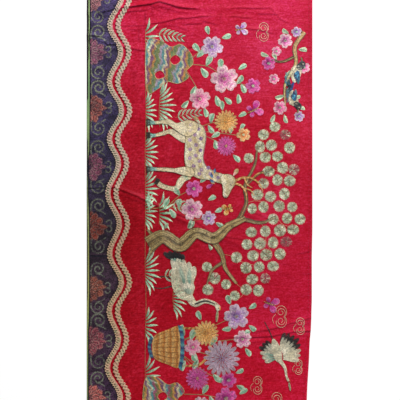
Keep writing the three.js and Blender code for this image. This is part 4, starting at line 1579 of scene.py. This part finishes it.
for u, v, degrees in ((66, -80, 150), (62, -16, 170), (102, 20, 20)):
    leaf("pine_trunk", (u, v), degrees, 14, 8, PALE_MINT, layer=3)

# %% Needle tufts of the pine
PINE_TUFTS = [  # u, v, radius and how worn
    (-150, 146, 13.5, 0), (-126, 164, 13, 0), (-122, 138, 13, 0), (-98, 150, 13.5, 0), (-100, 178, 13, 0),
    (-74, 190, 13.5, 0), (-46, 178, 13, 0), (-70, 216, 13, 0.75), (-44, 206, 13.5, 0), (-66, 158, 13, 0),
    (-38, 146, 13, 0.1), (-12, 132, 13.5, 0), (-8, 162, 13, 0), (16, 146, 13, 0), (14, 182, 13.5, 0),
    (42, 200, 13, 0), (16, 212, 13, 0), (-14, 194, 13, 0), (44, 230, 13.5, 0), (68, 214, 13, 0),
    (70, 184, 13.5, 0), (44, 168, 12.5, 0), (96, 198, 13, 0.8), (98, 168, 13, 0), (72, 150, 13, 0),
    (100, 138, 13.5, 0), (74, 118, 12.5, 0), (124, 184, 13, 0), (126, 152, 13.5, 0), (128, 122, 13, 0),
    (102, 108, 12.5, 0), (152, 168, 13, 0), (154, 136, 13, 0), (156, 106, 13.5, 0), (180, 150, 13, 0.7),
    (182, 120, 13, 0), (206, 106, 13.5, 0), (208, 134, 13, 0), (220, 80, 12.5, 0), (194, 60, 12.5, 0),
    (132, 84, 12.5, 0), (180, 34, 13, 0.1), (206, 18, 13, 0), (154, 16, 12.5, 0),
    (-168, 172, 13, 0), (-150, 196, 13, 0.8), (-120, 206, 13, 0), (20, 120, 12, 0), (-96, 112, 12, 0)]
for u, v, radius, worn in PINE_TUFTS:
    roundel("pine_tufts", np.array([u, v]), radius, worn)
for twig in ([(-130, 134), (-142, 150), (-158, 164), (-166, 180)], [(38, 176), (56, 190), (62, 212)],
             [(-70, 168), (-62, 190), (-56, 210)], [(192, 84), (204, 96), (218, 98), (230, 84)],
             [(124, 52), (130, 76), (142, 96), (150, 126)], [(52, 140), (74, 152), (96, 152), (122, 166)],
             [(8, 106), (2, 124), (4, 146)]):
    line("pine_tufts", twig, "#CDB182", 0.45, layer=0)

# %% Basket of chrysanthemums
basket("basket", (338, -82))
plant("basket", [
    [(326, -44), (310, -10), (298, 14)], [(342, -44), (350, 0), (362, 40)],
    [(352, -44), (388, -14), (408, 2)], [(334, -40), (326, 30), (318, 92)],
    [(322, -40), (290, 30), (272, 70)], [(356, -40), (400, 20), (412, 58)]], [
    (322, -22, 160, 26, 14), (346, -16, 20, 26, 14), (312, -36, 190, 26, 13), (368, -34, -15, 26, 13),
    (334, 24, 140, 24, 12), (366, -4, -30, 24, 12), (400, 30, 40, 24, 12), (312, 96, 120, 22, 11),
    (340, 104, 30, 22, 11), (276, 2, 200, 22, 12), (414, 34, 80, 22, 11), (298, 50, 100, 22, 11),
    (240, 70, 200, 22, 12), (250, 112, 130, 20, 11), (288, 112, 60, 20, 11), (426, 84, 60, 20, 11),
    (398, 82, 120, 20, 10)], [
    (blossom, 268, 84, 31, LILACS, 14), (simple_blossom, 414, 66, 19, MAGENTAS, 14),
    (chrysanthemum, 306, 14, 29, GOLDS, 0),
    (chrysanthemum, 364, 50, 42, ["#8F6FA0", "#B497AC", "#CDB6C6"], 8),
    (chrysanthemum, 410, -6, 27, MAGENTAS, 5), (blossom, 338, -16, 21, ROSES, 30),
    (blossom, 320, 98, 22, PINKS, 10)])

# %% Sky
flying_crane("sky", (352, 176), 14, 1.15)
for u, v, size in ((268, 186, 1.15), (466, 176, 1.1), (-386, 146, 1.0), (426, 132, 0.95),
                   (290, 230, 0.9), (384, 226, 0.8)):
    cloud("sky", (u, v), size)
for u, v, degrees, size, codes in ((-206, 122, 25, 1.25, MAGENTAS), (238, 160, -20, 1.2, MAGENTAS),
                                   (-392, 92, 10, 1.0, LILACS), (20, 66, 200, 0.85, GOLDS)):
    butterfly("sky", (u, v), degrees, size, codes)

# %% Ground lines and grasses
for points in ([(-392, -125), (-300, -126), (-200, -124), (-100, -126), (0, -125)],
               [(0, -125), (140, -126), (240, -124), (340, -126), (490, -125)],
               [(-236, -92), (-200, -94), (-168, -92)], [(6, -94), (30, -92), (56, -94)],
               [(196, -60), (226, -62), (252, -60)]):
    line("ground_lines", points, "#A08A55", 0.6)
for u, v, blades, length in (
        (-376, -124, 5, 34), (-218, -92, 11, 38), (-206, -124, 9, 26), (-110, -124, 9, 28),
        (-26, -124, 9, 34), (30, -92, 7, 36), (26, -124, 9, 26), (162, -124, 9, 36),
        (224, -60, 9, 34), (288, -124, 7, 28), (404, -124, 7, 36)):
    clump("grasses", (u, v), blades, length)
for u, v, degrees, length, leaf_length in ((-382, -100, 80, 60, 22), (178, -86, 104, 58, 20),
                                           (6, -66, 70, 60, 20), (-190, -56, 100, 56, 20)):
    frond("grasses", (u, v), degrees, length, leaf_length)

# %% Far rock with peonies
rock("far_rock", [(412, -126), (408, -98), (424, -74), (420, -52), (440, -36), (458, -52), (474, -44),
                  (488, -66), (484, -126)],
     [[(440, -84), (452, -74), (462, -88), (450, -98)]],
     ["#8C5F86", "#D9CFAE", "#5FA0A6", "#B4627E", "#8A9258", "#DFA95C"], 100)
plant("far_rock", [
    [(446, -36), (448, 10), (456, 50)], [(462, -48), (478, -20), (478, 6)]], [
    (446, 6, 150, 24, 12), (450, 22, 20, 22, 12), (478, -20, 30, 16, 9), (446, 90, 120, 22, 11),
    (474, 80, 40, 18, 10)], [
    (blossom, 456, 60, 27, MAGENTAS, 8), (blossom, 470, 2, 20, PINKS, 30)])
print({motif: sum(map(len, rows)) for motif, rows in work.items()})

# %% [markdown]
# ### From stitches to floss
# A stitch is now only a start, an end and a colour. It becomes a thread in two steps: points that
# rise over its middle (a short one has only its two ends), and a Geometry Nodes tree that runs a
# small section along them.

# %% The floss tree
def floss_tree(material):
    """Turn loose edges into closed threads. The section has three corners to keep threads light."""
    tree, given = start_tree("floss threads", {"Fineness": 1.0})
    threads = add(tree, "GeometryNodeMeshToCurve", {"Mesh": given.outputs["Geometry"]})
    thick = add(tree, "GeometryNodeInputNamedAttribute", {"Name": "thick"},
                data_type="FLOAT").outputs["Attribute"]
    section = add(tree, "GeometryNodeCurvePrimitiveCircle", {"Resolution": 3, "Radius": MM})
    scale = add(tree, "ShaderNodeMath", {0: thick, 1: given.outputs["Fineness"]},
                operation="MULTIPLY")
    tubes = add(tree, "GeometryNodeCurveToMesh", {
        "Curve": threads.outputs[0], "Profile Curve": section.outputs["Curve"],
        "Scale": scale.outputs[0], "Fill Caps": True})
    return finish_tree(tree, tubes.outputs[0], material)


BUNDLE = 3.4 * MM


def floss_silk(name):
    """Untwisted silk floss: its dye comes with each stitch, under a clear soft gloss. Bundles of
    threads catch the light differently; painted glints and shade in the colour break up the satin."""
    material, tree = new_material(name)
    place = add(tree, "ShaderNodeTexCoord").outputs["Object"]
    dyed = add(tree, "ShaderNodeAttribute", attribute_name="floss").outputs["Color"]
    age = add(tree, "ShaderNodeTexNoise", {"Vector": place, "Scale": 60.0, "Detail": 3.0})
    faded = add(tree, "ShaderNodeValToRGB", {"Fac": age.outputs["Fac"]},
                [(0.3, "#D8D0C4"), (0.7, "#FFFFFF")])
    bundles = add(tree, "ShaderNodeTexNoise", {"Vector": place, "Scale": 1 / BUNDLE, "Detail": 2.0})
    # painted highlight and shade: noise lifts and lowers the floss's colour in patches
    painted_glint = add(tree, "ShaderNodeMapRange", {
        "Value": bundles.outputs["Fac"], "From Min": 0.3, "From Max": 0.7, "To Min": 0.66,
        "To Max": 1.34}, clamp=False)
    colour = dyed
    for layer, weight in ((faded, 0.7), (painted_glint, 1.0)):
        colour = add(tree, "ShaderNodeMix", {
            "Factor": weight, 6: colour, 7: layer.outputs[0]}, **DARKEN).outputs[2]
    surface = add(tree, "ShaderNodeBsdfPrincipled", {
        "Base Color": colour, "Roughness": 0.42, "Sheen Weight": 0.15})
    add(tree, "ShaderNodeOutputMaterial", {"Surface": surface.outputs[0]})
    return material

# %% Stitch every motif onto the silk
STITCH_RISE = 0.55 * MM
LAYER_RISE = 0.3 * MM
ABOVE_SILK = 0.1 * MM
SHORT = 2.6
FULL_ARCH = 5  # mm, the length from which a stitch rises in full
HEM_GAP = 7 * MM
HEM_STITCH = 3.2
floss = floss_silk("silk floss satin stitch")
threads = floss_tree(floss)


def embroider(motif, rows):
    """Make one motif's stitches as a piece: each rises from the silk and dives back into it.
    Stitches too short to arch get only their two ends."""
    rows = np.vstack(rows)
    length = np.hypot(rows[:, 2] - rows[:, 0], rows[:, 3] - rows[:, 1])
    points, colours, thick, edges = [], [], [], []
    count = 0
    for chosen, steps in ((length < SHORT, (0, 1)), (length >= SHORT, (0, 0.5, 1))):
        part, step = rows[chosen], np.array(steps)
        x = (part[:, 1:2] + (part[:, 3:4] - part[:, 1:2]) * step) * MM
        y = -(part[:, 0:1] + (part[:, 2:3] - part[:, 0:1]) * step) * MM
        arch = np.clip(length[chosen] / FULL_ARCH, 0.3, 1)[:, None] * np.sin(math.pi * step)
        z = silk_top(x, y) + part[:, 8:9] * LAYER_RISE + ABOVE_SILK + STITCH_RISE * arch
        points.append(np.stack([x, y, z], -1).reshape(-1, 3))
        colours.append(np.repeat(np.insert(part[:, 4:7], 3, 1, 1), len(step), 0))
        thick.append(np.repeat(part[:, 7], len(step)))
        first = (count + np.arange(x.size).reshape(x.shape))[:, :-1].ravel()
        edges.append(np.stack([first, first + 1], 1))
        count += x.size
    mesh = bpy.data.meshes.new(motif)
    mesh.from_pydata(np.concatenate(points).tolist(), np.concatenate(edges).tolist(), [])
    floss_colour = np.clip(np.concatenate(colours), 0, 1).ravel()
    mesh.attributes.new("floss", "FLOAT_COLOR", "POINT").data.foreach_set("color", floss_colour)
    mesh.attributes.new("thick", "FLOAT", "POINT").data.foreach_set("value", np.concatenate(thick))
    return bake(new_piece(motif, mesh), threads, {"Fineness": 1.0})


hem_y = np.arange(-0.49, 0.49, HEM_GAP)
for y, edge in zip(hem_y, np.interp(hem_y, ground_y, ground_right)):
    start = np.array([-y, edge - HEM]) / MM
    sew("hem_stitches", start, start + (HEM_STITCH, 0), dye(["#7C0C22"]), 0.4)
embroidery = [embroider(motif, rows) for motif, rows in work.items()]

# %% [markdown]
# ## Light and table
# A large soft lamp stands beyond the far end, as a window would, and a weak one fills from the
# near right. The table is white where the camera sees it, and still takes the panel's shadow.

# %% Lamps, world and table
def lamp(name, size, power, place):
    """A square soft lamp that looks at the middle of the panel."""
    light = bpy.data.lights.new(name, "AREA")
    light.size = size
    light.energy = power
    holder = bpy.data.objects.new(name, light)
    bpy.context.collection.objects.link(holder)
    holder.location = place
    direction = -holder.location
    holder.rotation_euler = direction.to_track_quat("-Z", "Y").to_euler()


lamp("window", 0.9, 50, (0.6, 1.5, 1.15))
lamp("fill", 1.2, 12, (1.5, -1.1, 1.4))

world = bpy.data.worlds.new("studio")
bpy.context.scene.world = world
world.use_nodes = True
world.node_tree.nodes["Background"].inputs["Color"].default_value = (1, 1, 1, 1)
world.node_tree.nodes["Background"].inputs["Strength"].default_value = 0.25

table_material, tree = new_material("white table")
seen = add(tree, "ShaderNodeLightPath")
direct = add(tree, "ShaderNodeMath", {
    0: seen.outputs["Is Camera Ray"], 1: seen.outputs["Is Glossy Ray"]}, operation="MAXIMUM")
paper = add(tree, "ShaderNodeBsdfDiffuse", {"Color": linear("#F4F4F4")})
glow = add(tree, "ShaderNodeEmission", {"Color": linear("#FFFFFF"), "Strength": 1.1})
share = add(tree, "ShaderNodeMath", {0: direct.outputs[0], 1: 0.78}, operation="MULTIPLY")
mixed = add(tree, "ShaderNodeMixShader", {0: share.outputs[0], 1: paper.outputs[0], 2: glow.outputs[0]})
add(tree, "ShaderNodeOutputMaterial", {"Surface": mixed.outputs[0]})
bpy.ops.mesh.primitive_plane_add(size=12, location=(0, 0, 0))
table = bpy.context.object
table.name = "table"
table.data.materials.append(table_material)

# %% [markdown]
# ## Hand the pieces to the frame
# Every piece rides on the panel's one body and stands for the solid it dresses.

# %% Rides and sheets
for piece, nodes, slot in (
        (ground, ["ground_panel"], "ground_silk"),
        (brocade_far, ["brocade_upper"], "brocade"),
        (brocade_near, ["brocade_lower"], "brocade"),
        (binding, ["edge_binding"], "binding_silk"),
        (inner_braid, ["braid_inner"], "braid"),
        (outer_braid, ["braid_outer"], "braid")):
    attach(piece, "root")
    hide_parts(*nodes)
for piece in embroidery:
    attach(piece, "root")
for piece in (brocade_far, brocade_near):
    size = np.ptp([v.co for v in piece.data.vertices], axis=0)
